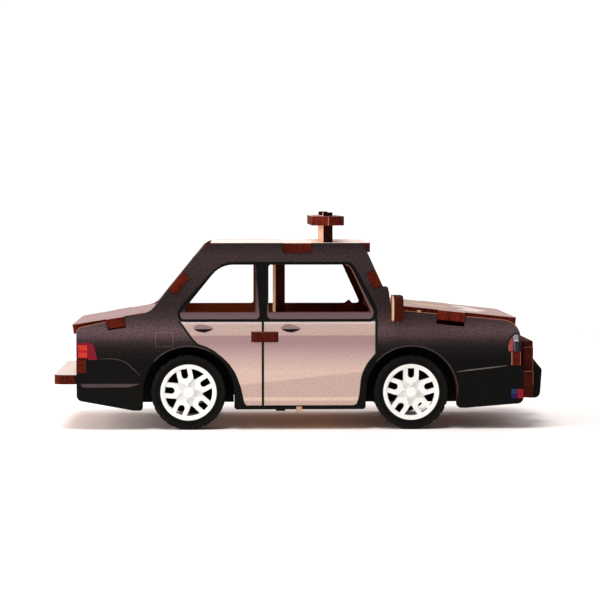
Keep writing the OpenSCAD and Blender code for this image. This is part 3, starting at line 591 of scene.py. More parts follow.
def bar_row_tree():
    """A row of like bars, each a step on from the last."""
    tree, given, out = new_tree("bar_row", [
        ("Count", "Int"), ("Start", "Vector"), ("Step", "Vector"), ("Size", "Vector")])
    line = tree.nodes.new("GeometryNodeMeshLine")
    bar = tree.nodes.new("GeometryNodeMeshCube")
    feed(given, ("Count", line, "Count"), ("Start", line, "Start Location"), ("Step", line, "Offset"),
         ("Size", bar, "Size"))
    close_tree(tree, copies_on(tree, line, bar).outputs["Instances"], given, out)


def rib_ring_tree():
    """Rings of short ribs round an axle, at two distances from the car's middle on each side."""
    tree, given, out = new_tree("rib_ring", [
        ("Ribs", "Int"), ("Radius", "Float"), ("Size", "Vector"), ("Centre", "Vector"), ("Outer", "Float"),
        ("Inner", "Float")])
    add, link = tree.nodes.new, tree.links.new
    circle, rib = add("GeometryNodeMeshCircle"), add("GeometryNodeMeshCube")
    feed(given, ("Ribs", circle, "Vertices"), ("Radius", circle, "Radius"), ("Size", rib, "Size"))
    copies = copies_on(tree, circle, rib)
    turn = add("FunctionNodeAlignRotationToVector")
    turn.axis = "X"
    link(add("GeometryNodeInputPosition").outputs["Position"], turn.inputs["Vector"])
    link(turn.outputs["Rotation"], copies.inputs["Rotation"])
    join = add("GeometryNodeJoinGeometry")
    for reach in ("Outer", "Inner"):
        for side in (-1.0, 1.0):
            away = add("ShaderNodeMath")
            away.operation = "MULTIPLY"
            away.inputs[1].default_value = side
            aside, spot = add("ShaderNodeCombineXYZ"), add("ShaderNodeVectorMath")
            move = add("GeometryNodeTransform")
            move.inputs["Rotation"].default_value = (math.pi / 2, 0.0, 0.0)
            feed(given, (reach, away, 0), ("Centre", spot, 0))
            link(away.outputs[0], aside.inputs["Y"])
            link(aside.outputs[0], spot.inputs[1])
            link(spot.outputs["Vector"], move.inputs["Translation"])
            link(copies.outputs["Instances"], move.inputs["Geometry"])
            link(move.outputs["Geometry"], join.inputs["Geometry"])
    close_tree(tree, join.outputs["Geometry"], given, out)
    return tree


def stud_ring_tree():
    """A ring of round studs on the outer face of both wheels of an axle."""
    tree, given, out = new_tree("stud_ring", [
        ("Studs", "Int"), ("Radius", "Float"), ("Stud Radius", "Float"), ("Stud Height", "Float"),
        ("Turn", "Vector"), ("Right", "Vector"), ("Left", "Vector")])
    add, link = tree.nodes.new, tree.links.new
    circle, stud = add("GeometryNodeMeshCircle"), add("GeometryNodeMeshCylinder")
    stud.inputs["Vertices"].default_value = STUD_SIDES
    feed(given, ("Studs", circle, "Vertices"), ("Radius", circle, "Radius"), ("Stud Radius", stud, "Radius"),
         ("Stud Height", stud, "Depth"))
    copies = copies_on(tree, circle, stud)
    join = add("GeometryNodeJoinGeometry")
    for side in ("Right", "Left"):
        move = add("GeometryNodeTransform")
        feed(given, ("Turn", move, "Rotation"), (side, move, "Translation"))
        link(copies.outputs["Instances"], move.inputs["Geometry"])
        link(move.outputs["Geometry"], join.inputs["Geometry"])
    close_tree(tree, join.outputs["Geometry"], given, out)
    return tree


def grow(name, tree, values, body):
    """Runs a tree once and keeps its result as a plain mesh."""
    seed = bpy.data.objects.new(name + "_seed", bpy.data.meshes.new(name + "_seed"))
    bpy.context.collection.objects.link(seed)
    modifier = seed.modifiers.new("grow", "NODES")
    modifier.node_group = tree
    for item in tree.interface.items_tree:
        if item.in_out == "INPUT":
            modifier[item.identifier] = values[item.name]
    graph = bpy.context.evaluated_depsgraph_get()
    mesh = bpy.data.meshes.new_from_object(seed.evaluated_get(graph))
    mesh.name = name
    bpy.data.objects.remove(seed)
    return finish_piece(name, mesh, body)


# Printed art of a side, in millimetres ahead of the car's middle and over the ground
WINDOW_OUTLINE = [
    (-37.3, 34.7), (22.6, 34.7), (23.8, 35.4), (24.7, 36.4), (24.9, 37.7), (24.4, 39.5), (23.4, 41.7),
    (21.9, 44.4), (20.3, 47.3), (18.9, 50.0), (17.6, 52.3), (16.2, 53.6), (14.2, 53.9), (-21.0, 53.9),
    (-22.9, 53.8), (-24.9, 53.2), (-27.1, 51.7), (-29.3, 49.6), (-31.5, 47.1), (-33.8, 44.6), (-36.0, 42.2),
    (-37.7, 40.3), (-38.8, 38.7), (-39.2, 37.5), (-39.1, 36.3), (-38.4, 35.2)]
REAR_GLASS = rounded([(-38.3, 35.6, 1.2), (-12.9, 35.6, 1.3), (-14.1, 53.06, 0.8), (-25.5, 53.06, 8.5),
                      (-35.85, 40.4, 3.0), (-38.5, 37.4, 1.0)])
FRONT_GLASS = rounded([(-10.6, 35.6, 1.3), (23.3, 35.6, 1.5), (23.6, 38.2, 1.5), (16.6, 51.9, 1.2),
                       (15.3, 53.06, 0.6), (-10.25, 53.06, 0.8)])
REAR_BELT = [(-38.2, 36.6), (-37.6, 35.55), (-13.9, 35.55), (-13.0, 36.4), (-12.95, 38.0), (-13.95, 48.0),
             (-14.22, 48.0), (-14.22, 37.74), (-37.85, 37.74), (-38.45, 37.9)]
FRONT_BELT = [(-10.6, 37.0), (-10.1, 36.0), (-9.2, 35.55), (22.2, 35.55), (23.3, 36.2), (23.7, 37.6),
              (23.4, 39.0), (16.75, 51.9), (16.42, 51.75), (22.78, 37.85), (22.6, 37.74), (-10.16, 37.74),
              (-10.16, 42.0), (-10.4, 42.0)]
# Radius of the door's bends round the arches, cut short where two bends meet
BEND = 12.0
DOOR = rounded([
    (-38.2, 34.8, 0), (24.3, 34.8, 0), (24.3, 24.7, 0), (21.3, 21.2, BEND), (19.6, 17.4, BEND),
    (18.9, 10.7, BEND), (18.2, 8.4, 1.0), (17.4, 7.9, 1.0), (-17.3, 7.9, 0.6), (-17.9, 8.9, BEND),
    (-19.0, 13.9, BEND), (-20.7, 18.4, BEND), (-22.8, 21.4, BEND), (-25.0, 23.5, BEND), (-27.4, 25.3, BEND),
    (-29.9, 26.8, BEND), (-32.5, 27.6, 1.0), (-34.2, 29.2, BEND)])
DECK_SLOT = box_loop(-15.65, 28.2, -6.95, 31.6)
DOOR_REAR_EDGE = [(-38.6, 34.9), (-34.6, 29.1), (-32.8, 27.4), (-30.1, 26.5), (-27.6, 25.2), (-25.0, 23.0)]
DOOR_SEAMS = [box_loop(-12.3, 7.9, -11.55, 28.2), box_loop(-12.3, 31.6, -11.55, 34.75),
              box_loop(24.1, 24.5, 24.9, 36.2)]
HANDLE_TOP = [(-34.2, 32.8), (-33.1, 33.8), (-31.4, 34.0), (-29.3, 33.5), (-27.5, 32.55), (-28.4, 32.3),
              (-33.8, 32.3)]
HANDLE_CUP = [(-33.9, 32.4), (-27.9, 32.4), (-28.6, 31.9), (-30.6, 31.3), (-32.2, 31.5), (-33.4, 32.0)]
HANDLE_SHIFT = 28.0
FUEL_DOOR = box_loop(-46.2, 26.8, -40.6, 31.4, 0.15)
TAIL_LAMP = [(-71.2, 28.1), (-67.7, 28.2), (-66.6, 27.8), (-65.9, 27.0), (-65.4, 24.9), (-64.8, 22.6),
             (-67.8, 22.6), (-67.8, 23.1), (-71.2, 23.1)]
TAIL_LENS = box_loop(-70.95, 23.3, -68.0, 27.4, 0.2)
QUARTER_LINE = [(-64.2, 22.9), (-61.3, 23.0), (-59.0, 22.9), (-57.4, 22.5), (-55.8, 21.8), (-54.2, 20.5),
                (-52.6, 19.0), (-51.2, 17.4)]
RUB_STRIP = [(-70.2, 14.9), (-51.2, 14.9), (-53.0, 14.3), (-54.9, 13.8), (-69.0, 13.8), (-69.8, 14.1)]
FENDER_LINE = [(50.4, 18.5), (54.6, 19.1), (61.0, 19.8), (66.6, 20.5)]
HEAD_LAMP = [(66.8, 24.98), (66.7, 27.0), (67.1, 28.9), (67.8, 30.1), (68.7, 30.9), (70.2, 31.1),
             (70.8, 24.98)]
HEAD_AMBER = [(67.0, 25.1), (66.9, 26.8), (67.4, 28.6), (68.0, 29.7), (68.5, 28.6), (68.4, 25.1)]
HEAD_CLEAR = [(68.3, 29.9), (69.0, 30.5), (70.0, 30.5), (70.25, 28.7), (68.6, 28.6)]
HEAD_LENS = [(68.7, 28.3), (70.25, 28.3), (70.5, 25.1), (68.7, 25.1)]
HEAD_LINE = box_loop(68.7, 28.3, 70.25, 28.7)
HEAD_STRIP = [(68.6, 28.25), (69.0, 28.25), (69.3, 25.1), (68.7, 25.1)]
MARKER_BLUE = box_loop(68.0, 10.0, 69.85, 12.95)
MARKER_VIOLET = box_loop(68.0, 10.0, 69.85, 11.4)
MARKER_RED = box_loop(70.0, 9.95, 71.85, 12.9)
# Ribs of a tail lens: number, first place, lift off the panel, step, size, and each row's height
TAIL_RIBS = 6
TAIL_RIB_START = -70.7
TAIL_RIB_LIFT = 0.04
TAIL_RIB_STEP = 0.49
TAIL_RIB_SIZE = (0.26, 0.1, 1.6)
TAIL_RIB_ROWS = (("upper", 26.5), ("lower", 24.2))
# Small nubs on the right side: name, middle and size
NUBS = (("sill_nub", (-0.3, -29.58, 6.75), (1.8, 2.9, 1.5)),
        ("hood_nub", (38.2, -29.58, 37.88), (1.2, 2.9, 0.6)))
# Line over each arch: its angles in degrees, its distance from the arch and its width
FRONT_ARCH, REAR_ARCH = (-4.0, 140.0), (62.0, 138.0)
ARCH_LINE_GAP = 0.32
ARCH_LINE_WIDTH = 0.36
# Widths of the other lines
HIGHLIGHT_WIDTH = 0.17
PILLAR_WIDTH = 0.12
DOOR_EDGE_WIDTH = 0.6
QUARTER_WIDTH = 0.3
FENDER_WIDTH = 0.42
FUEL_DOOR_WIDTH = 0.22
CREASE_WIDTH = 0.4
# Painted highlights along bare edges that catch the light: hood, nose, trunk, front pillar, then the ends of
# tabs
HOOD_EDGE = [(33.5, 38.17), (44.1, 37.18)]
NOSE_EDGE = rounded([(53.4, 36.3, 0), (70.2, 34.73, 5.86), (71.35, 24.0, 0), (53.4, 24.0, 0)])[:-5]
TRUNK_EDGE = rounded([(-62.2, 34.7, 0), (-71.37, 32.75, 1.9), (-71.37, 30.0, 0), (-62.2, 30.0, 0)])[:-2]
PILLAR_EDGE = [(14.6, 53.0), (15.6, 52.7), (16.5, 51.6), (17.7, 49.2), (22.75, 38.4), (22.8, 37.9)]
FRONT_TAB_EDGES = [box_loop(67.97, 20.65, 68.22, 24.95), box_loop(70.8, 20.65, 70.93, 24.95)]
BUMPER_LOW_EDGES = [box_loop(72.1, 18.58, 75.0, 18.68), box_loop(74.94, 14.2, 75.02, 18.5)]
BUMPER_MID_EDGES = [box_loop(72.1, 26.3, 75.0, 26.38), box_loop(74.94, 18.8, 75.02, 23.4)]
PLATE_EDGE = box_loop(9.15, 65.45, 9.45, 68.35)
# Pale field and white chevron on the hood, as distances ahead of the car's middle and to its left;
# the chevron is guessed print that also paints a highlight along the hood
HOOD_FIELD = rounded([(38.5, -13.0, 2.5), (50.0, -8.5, 2.5), (50.0, 8.5, 2.5), (38.5, 13.0, 2.5)])
HOOD_CHEVRON = rounded([(51.5, -14.0, 1.0), (57.5, -17.0, 2.0), (64.0, 0.0, 6.0), (57.5, 17.0, 2.0),
                        (51.5, 14.0, 1.0), (56.5, 0.0, 4.0)])
# Creases of the lids on the left, and a point of each lid's top, ahead of the middle and over the ground
HOOD_CREASE = [(36.0, 19.0), (50.0, 16.5), (66.0, 12.5)]
TRUNK_CREASE = [(-50.0, 18.0), (-60.0, 18.6), (-69.0, 17.0)]
HOOD_POINT = (29.413, 40.0)
TRUNK_POINT = (-59.15, 35.98)
# Boxes on the ends, on the left: nearest and farthest from the middle, lowest, highest, corner radius
FRONT_LAMP = (16.0, 26.6, 20.2, 26.2, 1.2)
FRONT_LENS = (17.0, 22.0, 20.9, 25.5, 1.4)
FRONT_AMBER = (24.2, 26.2, 20.6, 25.8, 0.6)
REAR_LAMP = (20.8, 27.2, 22.8, 28.0, 0.8)
REAR_CLEAR = (21.6, 24.0, 23.4, 24.8, 0.3)
PLAIN_FIELD = box_loop(-8.0, 20.4, 8.0, 25.6, 0.6)
# Grille: number, lowest height, step and size of its bars
GRILLE_BARS = 5
GRILLE_LOW = 20.2
GRILLE_STEP = 1.4
GRILLE_SIZE = (0.12, 18.4, 0.5)
# Field on the light bar's left half, and the ends of its slot along and across the car
BEACON_FIELD = [(4.6, 3.0), (14.0, 3.0), (14.0, 21.8), (9.3, 25.2), (4.6, 21.8)]
BEACON_SLOT_X = (7.6, 11.0)
BEACON_SLOT_Y = (15.3, 21.7)


def shifted(loop, dx):
    """An outline moved forward."""
    return [(u + dx, v) for u, v in loop]


def pair(near, far, low, high, radius):
    """The same box on both sides of the middle."""
    return [[box_loop(-far, low, -near, high, radius)], [box_loop(near, low, far, high, radius)]]


def creases(points):
    """The same crease on both sides of the middle."""
    return [[ribbon([(u, side * v) for u, v in points], CREASE_WIDTH, True)] for side in (-1.0, 1.0)]


def bar_row(name, count, start, step, size, material):
    """A row of bars on the car, from lengths in millimetres."""
    grow(name, bpy.data.node_groups["bar_row"], {
        "Count": count, "Start": Vector(start) * MM, "Step": Vector(step) * MM, "Size": Vector(size) * MM,
        "Material": material}, "car")


def paint_node(node, material):
    """Gives a piece of the frame its material."""
    NODES[node].data.materials.clear()
    NODES[node].data.materials.append(material)


class PATROLCAR_OT_boards(Operator):
    """Gives every board of the car its faces and burnt edges"""
    bl_idname = "patrolcar.boards"
    bl_label = "Boards"

    def execute(self, context):
        p = context.scene.patrol_car.prints
        dark = face_plain([c * 0.5 + k * 0.5 for c, k in zip(p.graphite, p.black)])
        black = face_plain(p.black)
        pale = face_plain(rgb(238, 226, 216), 0.93, 1.04)
        hood, trunk = face_plain(rgb(110, 89, 89)), face_plain(rgb(128, 98, 104))
        x, y, z = (1.0, 0.0, 0.0), (0.0, 1.0, 0.0), (0.0, 0.0, 1.0)
        finishes = {
            "side_panel_right": side_finish("side_print_right", -1.0),
            "side_panel_left": side_finish("side_print_left", 1.0),
            "roof_panel": board_finish("roof_print", z, pale, face_ply, 0.3, toast=0.97),
            "windscreen_frame": board_finish("screen_print", lean(SCREEN_ANGLE, 1), dark, face_russet),
            "rear_window_frame": board_finish("backlight_print", lean(BACKLIGHT_ANGLE, -1), dark, face_russet),
            "hood_panel": board_finish("hood_print", lean(HOOD_ANGLE, 1), hood, face_ply, 0.26, 0.5,
                                       toast=1.5),
            "trunk_lid": board_finish("trunk_print", lean(TRUNK_ANGLE, -1), trunk, face_ply, 0.33, 0.4,
                                      toast=0.86),
            "front_panel": board_finish("front_ply", x, face_russet, face_ply),
            "front_bumper": board_finish("front_print", x, black, face_russet, burn=0.62),
            "rear_panel": board_finish("rear_print", (-1.0, 0.0, 0.0), dark, face_ply),
            "rear_bumper": board_finish("bumper_print", z, face_plain(rgb(212, 201, 195)), face_ply, 0.3),
            "push_bar_right": board_finish("push_print", y, black, black),
            "light_bar_web": board_finish("web_ply", x, face_russet, face_ply, burn=0.85),
            "light_bar_plate": board_finish("plate_print", z, pale, face_ply, 0.3, toast=1.2),
            "floor_board": board_finish("level_ply", z, face_ply, face_ply, 0.55, toast=0.74),
            "partition_board": board_finish("cross_ply", x, face_russet, face_ply, 0.55, burn=0.75),
            "mirror_right": board_finish("mirror_ply", x, face_russet, face_ply, 0.55, toast=0.5),
            "dashboard": board_finish("dash_stain", z, face_russet, face_russet, 0.55),
            "steering_wheel": board_finish("steering_stain", lean(STEER_ANGLE, -1), face_russet, face_russet,
                                           0.95, 0.0, toast=1.4),
            # The axle rails are black all over: painted shade, so the inside of the wheel arches looks as
            # dark as its shadow
            "axle_rail_right": board_finish("rail_print", y, black, black, 0.55),
        }
        shared = {"push_bar_left": "push_bar_right", "deck_board": "floor_board",
                  "firewall_board": "partition_board", "axle_rail_left": "axle_rail_right",
                  "mirror_left": "mirror_right", "steering_column": "floor_board"}
        for node, like in shared.items():
            finishes[node] = finishes[like]
        for node, material in finishes.items():
            paint_node(node, material)
        return {"FINISHED"}


class PATROLCAR_OT_side_prints(Operator):
    """Prints the windows, doors, lamps and lines of both sides"""
    bl_idname = "patrolcar.side_prints"
    bl_label = "Side prints"

    def execute(self, context):
        p = context.scene.patrol_car.prints
        line = ink("line_ink", rgb(67, 60, 60))
        black = ink("black_ink", p.black)
        red = ink("red_ink", p.red, 0.3)
        amber = ink("amber_ink", p.amber, 0.3)
        silver = ink("silver_ink", p.silver, 0.25)
        lens = ink("lens_ink", rgb(40, 48, 57), 0.25)
        arches = [[ribbon(arc(x, AXLE_Z, ARCH_R + ARCH_LINE_GAP, *span), ARCH_LINE_WIDTH, True)]
                  for x, span in ((AXLE_X, FRONT_ARCH), (-AXLE_X, REAR_ARCH))]
        # Pale ink along the cut edges: painted highlight where the edges catch the light
        edge_highlight = ink("worn_ink", rgb(170, 112, 90))
        edges = [[ribbon(edge, HIGHLIGHT_WIDTH)] for edge in (HOOD_EDGE, NOSE_EDGE, TRUNK_EDGE)]
        handles_top = [[HANDLE_TOP], [shifted(HANDLE_TOP, HANDLE_SHIFT)]]
        handles_cup = [[HANDLE_CUP], [shifted(HANDLE_CUP, HANDLE_SHIFT)]]
        sheets = [
            ("door_print", [[DOOR, DECK_SLOT]], 0, print_finish("door_ink", face_door)),
            ("belt_print", [[REAR_BELT], [FRONT_BELT]], 0, print_finish("belt_ink", face_belt)),
            ("window_band", [[WINDOW_OUTLINE, REAR_GLASS, FRONT_GLASS]], 1, black),
            ("door_seams", [[loop] for loop in DOOR_SEAMS] + [[ribbon(DOOR_REAR_EDGE, DOOR_EDGE_WIDTH)]], 2,
             ink("door_seam_ink", rgb(20, 27, 20))),
            ("handle_tops", handles_top, 1, ink("handle_ink", rgb(146, 120, 122))),
            ("handle_cups", handles_cup, 2, black),
            ("panel_lines", [[ribbon(QUARTER_LINE, QUARTER_WIDTH, True)]] + arches, 1, line),
            ("fender_line", [[ribbon(FENDER_LINE, FENDER_WIDTH, True)]], 1,
             ink("fender_ink", rgb(104, 97, 93))),
            ("fuel_door", [ring(FUEL_DOOR, FUEL_DOOR_WIDTH)], 1, print_finish("seam_ink", face_seam)),
            ("rub_strip", [[RUB_STRIP]], 1, ink("strip_ink", rgb(80, 66, 69))),
            ("tail_lamp", [[TAIL_LAMP]], 1, red),
            ("tail_lens", [[TAIL_LENS]], 2, ink("lens_red_ink", rgb(175, 27, 33), 0.3)),
            ("head_lamp", [[HEAD_LAMP]], 1, black),
            ("head_amber", [[HEAD_AMBER]], 2, amber),
            ("head_clear", [[HEAD_CLEAR]], 2, ink("clear_ink", rgb(146, 140, 146), 0.25)),
            ("head_lens", [[HEAD_LENS]], 2, lens),
            ("head_line", [[HEAD_LINE]], 3, silver),
            ("head_strip", [[HEAD_STRIP]], 3, ink("strip_lens_ink", rgb(92, 86, 106), 0.25)),
            ("marker_blue", [[MARKER_BLUE]], 1, ink("marker_blue_ink", rgb(42, 54, 86))),
            ("marker_violet", [[MARKER_VIOLET]], 2, ink("marker_violet_ink", rgb(44, 26, 84))),
            ("marker_red", [[MARKER_RED]], 1, ink("marker_red_ink", rgb(146, 22, 38), 0.3)),
            ("worn_edges", edges, 1, edge_highlight),
            ("pillar_edge", [[ribbon(PILLAR_EDGE, PILLAR_WIDTH)]], 2, edge_highlight),
        ]
        # Ends of tabs, bumpers and the light bar's plate get the same painted edge highlight
        faces = (("front_tab_edges", FRONT_TAB_EDGES, TAB_FACE),
                 ("bumper_low_edges", BUMPER_LOW_EDGES, BUMPER_LOW_FACE),
                 ("bumper_mid_edges", BUMPER_MID_EDGES, BUMPER_MID_FACE),
                 ("plate_edge", [PLATE_EDGE], PLATE_TIP))
        bar_row_tree()
        rib = ink("lens_rib_ink", rgb(213, 74, 56), 0.3)
        for label, side in (("right", -1.0), ("left", 1.0)):
            for name, shapes, layer, material in sheets:
                print_piece(f"{name}_{label}", shapes, layer, on_side(side), material)
            for name, loops, face in faces:
                print_piece(f"{name}_{label}", [[loop] for loop in loops], 0, on_side(side, face), edge_highlight)
            for part, z in TAIL_RIB_ROWS:
                bar_row(f"tail_ribs_{part}_{label}", TAIL_RIBS,
                        (TAIL_RIB_START, side * (SIDE_FACE + TAIL_RIB_LIFT), z), (TAIL_RIB_STEP, 0.0, 0.0),
                        TAIL_RIB_SIZE, rib)
        nub = ink("nub_ply", rgb(196, 154, 122), 0.55)
        for name, place, size in NUBS:
            bar_row(name, 1, place, (0.0, 0.0, 0.0), size, nub)
        return {"FINISHED"}


class PATROLCAR_OT_end_prints(Operator):
    """Prints plain lamps and a grille on the ends, creases on the lids and fields on the light bar"""
    bl_idname = "patrolcar.end_prints"
    bl_label = "End prints"

    def execute(self, context):
        p = context.scene.patrol_car.prints
        mats = bpy.data.materials
        print_piece("front_lamps", pair(*FRONT_LAMP), 0, on_front, mats["silver_ink"])
        print_piece("front_lenses", pair(*FRONT_LENS), 1, on_front, mats["lens_ink"])
        print_piece("front_ambers", pair(*FRONT_AMBER), 1, on_front, mats["amber_ink"])
        bar_row("grille_bars", GRILLE_BARS, (BUMPER_FACE, 0.0, GRILLE_LOW), (0.0, 0.0, GRILLE_STEP),
                GRILLE_SIZE, mats["line_ink"])
        print_piece("rear_lamps", pair(*REAR_LAMP), 0, on_rear, mats["red_ink"])
        print_piece("rear_clears", pair(*REAR_CLEAR), 1, on_rear, mats["silver_ink"])
        print_piece("plate_field", [[PLAIN_FIELD]], 0, on_rear, ink("plain_field_ink", rgb(206, 196, 188)))
        hood = on_slope(*HOOD_POINT, lean(HOOD_ANGLE, 1))
        print_piece("hood_creases", creases(HOOD_CREASE), 0, hood, mats["line_ink"])
        print_piece("hood_field", [[HOOD_FIELD]], 1, hood, ink("hood_field_ink", rgb(188, 162, 138)))
        # White chevron: guessed print that also stands in for a highlight on the hood
        print_piece("hood_chevron", [[HOOD_CHEVRON]], 1, hood, ink("hood_chevron_ink", rgb(222, 208, 206)))
        trunk = on_slope(*TRUNK_POINT, lean(TRUNK_ANGLE, -1))
        print_piece("trunk_creases", creases(TRUNK_CREASE), 0, trunk, mats["line_ink"])
        for name, side, material in (("beacon_red", 1.0, mats["red_ink"]),
                                     ("beacon_blue", -1.0, ink("beacon_blue_ink", p.blue, 0.3))):
            field = [(u, side * v) for u, v in BEACON_FIELD]
            low, high = sorted(side * v for v in BEACON_SLOT_Y)
            slot = box_loop(BEACON_SLOT_X[0], low, BEACON_SLOT_X[1], high)
            print_piece(name, [[field, slot]], 0, on_plate, material)
        return {"FINISHED"}


# Sidewall ribs: distance from the axle, length, width, and the sidewalls' distances from the car's middle
RIB_RADIUS = 9.75
RIB_LENGTH = 0.8
RIB_WIDTH = 0.3
TYRE_OUTER, TYRE_INNER = 30.1, 22.9
# Lug studs: number, distance from the axle, radius, height and distance from the car's middle
STUDS = 5
STUD_RING = 2.5
STUD_RADIUS = 0.45
STUD_HEIGHT = 0.8
STUD_FACE = 29.4
# Each axle with its place and the turn of its studs in degrees
AXLES = (("front", AXLE_X, 90.0), ("rear", -AXLE_X, 102.0))
# Distances from the car's middle between which a rim rises to its spokes, and the painted shade of the lower
# one
RIM_RISE = (29.35, 29.6)
RIM_SHADE = 0.84
# Distance from one fine ring on the rubber to the next
RING_PITCH = 0.55


class PATROLCAR_OT_wheels(Operator):
    """Finishes the rims, tyres and axles, and adds the sidewall ribs and lug studs"""
    bl_idname = "patrolcar.wheels"
    bl_label = "Wheels"

    def rim_finish(self, colour):
        f = Finish("rim_plastic")
        mottle = f.noise((260, 260, 260), detail=2)
        depth = f.math("ABSOLUTE", f.axis(1))
        # The rim's lower face, below the spokes, is darkened: painted shade in the recess
        raised = f.span(depth, RIM_RISE[0] * MM, RIM_RISE[1] * MM, RIM_SHADE, 1.0)
        shade = f.math("MULTIPLY", raised, f.span(mottle, 0.3, 0.7, 0.96, 1.02))
        f.set(Base_Color=f.times(colour, shade), Roughness=f.span(mottle, 0.3, 0.7, 0.26, 0.36))
        f.bump(f.noise((5200, 5200, 5200), detail=2), 0.05, 0.00004)
        return f.mat

    def tyre_finish(self, name, colour, x):
        """Rubber with fine rings round its own axle."""
        f = Finish(name)
        dx = f.math("SUBTRACT", f.axis(0), x * MM)
        dz = f.math("SUBTRACT", f.axis(2), AXLE_Z * MM)
        reach = f.math("SQRT", f.math("ADD", f.math("MULTIPLY", dx, dx), f.math("MULTIPLY", dz, dz)))
        rings = f.math("SINE", f.math("MULTIPLY", reach, 2 * math.pi / (RING_PITCH * MM)))
        dust = f.noise((900, 900, 900), detail=3)
        tone = f.math("MULTIPLY", f.span(dust, 0.35, 0.75, 0.85, 1.35), f.span(rings, -1.0, 1.0, 0.9, 1.12))
        f.set(Base_Color=f.times(colour, tone), Roughness=f.span(dust, 0.3, 0.7, 0.55, 0.72),
              Specular_IOR_Level=0.08)
        f.bump(f.math("ADD", rings, f.math("MULTIPLY", dust, 1.5)), 0.25, 0.00005)
        return f.mat

    def steel_finish(self):
        f = Finish("axle_steel")
        streaks = f.noise((9000, 300, 9000), detail=3)
        f.set(Base_Color=f.ramp(streaks, [(0.3, rgb(150, 150, 152)), (0.7, rgb(206, 206, 208))]),
              Roughness=f.span(streaks, 0.3, 0.7, 0.24, 0.42), Metallic=1.0)
        f.bump(streaks, 0.08, 0.00003)
        return f.mat

    def execute(self, context):
        w = context.scene.patrol_car.wheels
        rim, steel = self.rim_finish(w.rim), self.steel_finish()
        tree, studs = rib_ring_tree(), stud_ring_tree()
        for end, x, turn in AXLES:
            rubber = self.tyre_finish(f"{end}_rubber", w.tyre, x)
            paint_node(f"{end}_axle", steel)
            for side in ("right", "left"):
                paint_node(f"{end}_{side}_rim", rim)
                paint_node(f"{end}_{side}_tyre", rubber)
            grow(f"{end}_sidewall_ribs", tree, {
                "Ribs": w.ribs, "Radius": RIB_RADIUS * MM,
                "Size": (RIB_LENGTH * MM, RIB_WIDTH * MM, 2 * w.rib_height),
                "Centre": Vector((x, 0.0, AXLE_Z)) * MM, "Outer": TYRE_OUTER * MM, "Inner": TYRE_INNER * MM,
                "Material": rubber}, f"{end}_wheels")
            grow(f"{end}_lug_studs", studs, {
                "Studs": STUDS, "Radius": STUD_RING * MM, "Stud Radius": STUD_RADIUS * MM,
                "Stud Height": STUD_HEIGHT * MM, "Turn": (math.pi / 2, -math.radians(turn), 0.0),
                "Right": Vector((x, -STUD_FACE, AXLE_Z)) * MM, "Left": Vector((x, STUD_FACE, AXLE_Z)) * MM,
                "Material": rim}, f"{end}_wheels")
        return {"FINISHED"}


# Stage, in metres: camera, floor, and the setting, place and width of each lamp
CAMERA_AT = (-0.0225, -0.744, 0.0759)
CAMERA_AIM = (-0.00003, -0.031, 0.0417)
FLOOR_HALF = 0.45
LAMPS = (("key", (-0.8, -0.42, 0.5), 0.4), ("left", (-0.9, -0.05, 0.26), 0.4),
         ("top", (-0.3, -0.6, 1.8), 0.8))
LAMP_AIM = (0.0, 0.0, 0.03)
# Spans of a direction over which the sky turns to the backdrop, and from low to high
SKY_BEHIND = (-0.2, 0.4)
SKY_LOW = (0.2, 0.5)


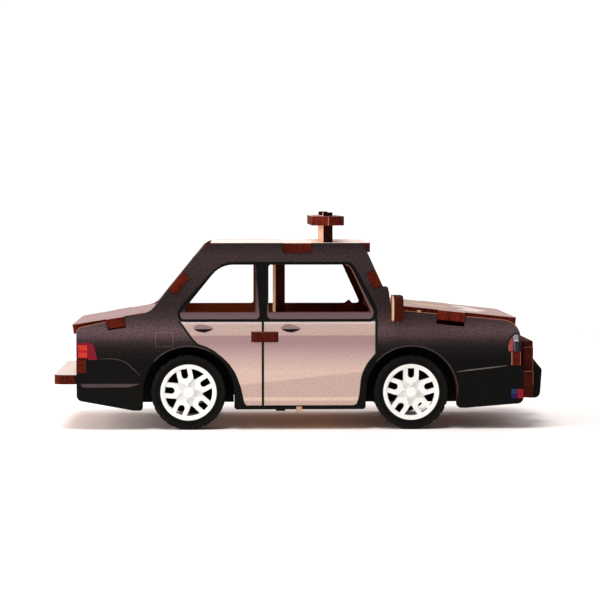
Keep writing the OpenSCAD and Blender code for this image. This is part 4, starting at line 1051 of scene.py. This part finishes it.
class PATROLCAR_OT_stage(Operator):
    """Makes the camera, the lamps and the floor"""
    bl_idname = "patrolcar.stage"
    bl_label = "Stage"

    def aim(self, thing, target):
        thing.rotation_euler = (Vector(target) - thing.location).to_track_quat("-Z", "Y").to_euler()

    def sky(self, s):
        """A world that the camera sees white, dim on the camera's side and warm low down behind the car."""
        world = bpy.data.worlds.new("studio_sky")
        world.use_nodes = True
        n = Nodes(world.node_tree)
        split = n.add("ShaderNodeSeparateXYZ")
        n.put(split.inputs[0], n.add("ShaderNodeTexCoord").outputs["Generated"])
        behind = n.span(split.outputs["Y"], *SKY_BEHIND)
        low = n.span(split.outputs["Z"], *SKY_LOW, 1.0, 0.0)
        seen = n.add("ShaderNodeLightPath").outputs["Is Camera Ray"]
        warm = n.math("MULTIPLY", n.math("SUBTRACT", low, seen), behind)
        level = n.span(n.math("MAXIMUM", seen, behind), 0.0, 1.0, s.sky, s.backdrop)
        background = world.node_tree.nodes["Background"]
        n.put(background.inputs["Color"], n.mix(warm, (1.0, 1.0, 1.0), s.low_sky))
        n.put(background.inputs["Strength"], level)
        return world

    def execute(self, context):
        s = context.scene.patrol_car.stage
        scene = context.scene
        scene.view_settings.view_transform = "Standard"
        camera = bpy.data.objects.new("photo_camera", bpy.data.cameras.new("photo_camera"))
        camera.data.lens = s.lens
        camera.location = CAMERA_AT
        scene.collection.objects.link(camera)
        self.aim(camera, CAMERA_AIM)
        scene.camera = camera
        mesh = bpy.data.meshes.new("studio_floor")
        corners = ((-1, -1), (1, -1), (1, 1), (-1, 1))
        mesh.from_pydata([(x * FLOOR_HALF, y * FLOOR_HALF, 0) for x, y in corners], [], [(0, 1, 2, 3)])
        floor = bpy.data.objects.new("studio_floor", mesh)
        scene.collection.objects.link(floor)
        f = Finish("studio_floor")
        f.set(Base_Color=tuple(s.floor), Roughness=0.9)
        mesh.materials.append(f.mat)
        scene.world = self.sky(s)
        for label, place, size in LAMPS:
            lamp = bpy.data.lights.new(f"{label}_lamp", "AREA")
            lamp.size = size
            lamp.energy = getattr(s, label)
            holder = bpy.data.objects.new(f"{label}_lamp", lamp)
            holder.location = place
            scene.collection.objects.link(holder)
            self.aim(holder, LAMP_AIM)
        return {"FINISHED"}


class PATROLCAR_PT_panel(Panel):
    """Lists the steps that dress the car"""
    bl_idname = "PATROLCAR_PT_panel"
    bl_label = "Patrol Car"
    bl_space_type = "VIEW_3D"
    bl_region_type = "UI"
    bl_category = "Patrol Car"

    def draw(self, context):
        for operator in STEPS:
            self.layout.operator(operator.bl_idname)


GROUPS = (BoardLooks, PrintLooks, WheelLooks, StageLooks, PatrolCar)
STEPS = (PATROLCAR_OT_stage, PATROLCAR_OT_boards, PATROLCAR_OT_side_prints, PATROLCAR_OT_end_prints,
         PATROLCAR_OT_wheels)


def register():
    for cls in (*GROUPS, *STEPS, PATROLCAR_PT_panel):
        bpy.utils.register_class(cls)
    bpy.types.Scene.patrol_car = PointerProperty(type=PatrolCar)


def unregister():
    del bpy.types.Scene.patrol_car
    for cls in reversed((*GROUPS, *STEPS, PATROLCAR_PT_panel)):
        bpy.utils.unregister_class(cls)


def main():
    register()
    for operator in STEPS:
        group, name = operator.bl_idname.split(".")
        getattr(getattr(bpy.ops, group), name)()


if __name__ == "__main__":
    main()
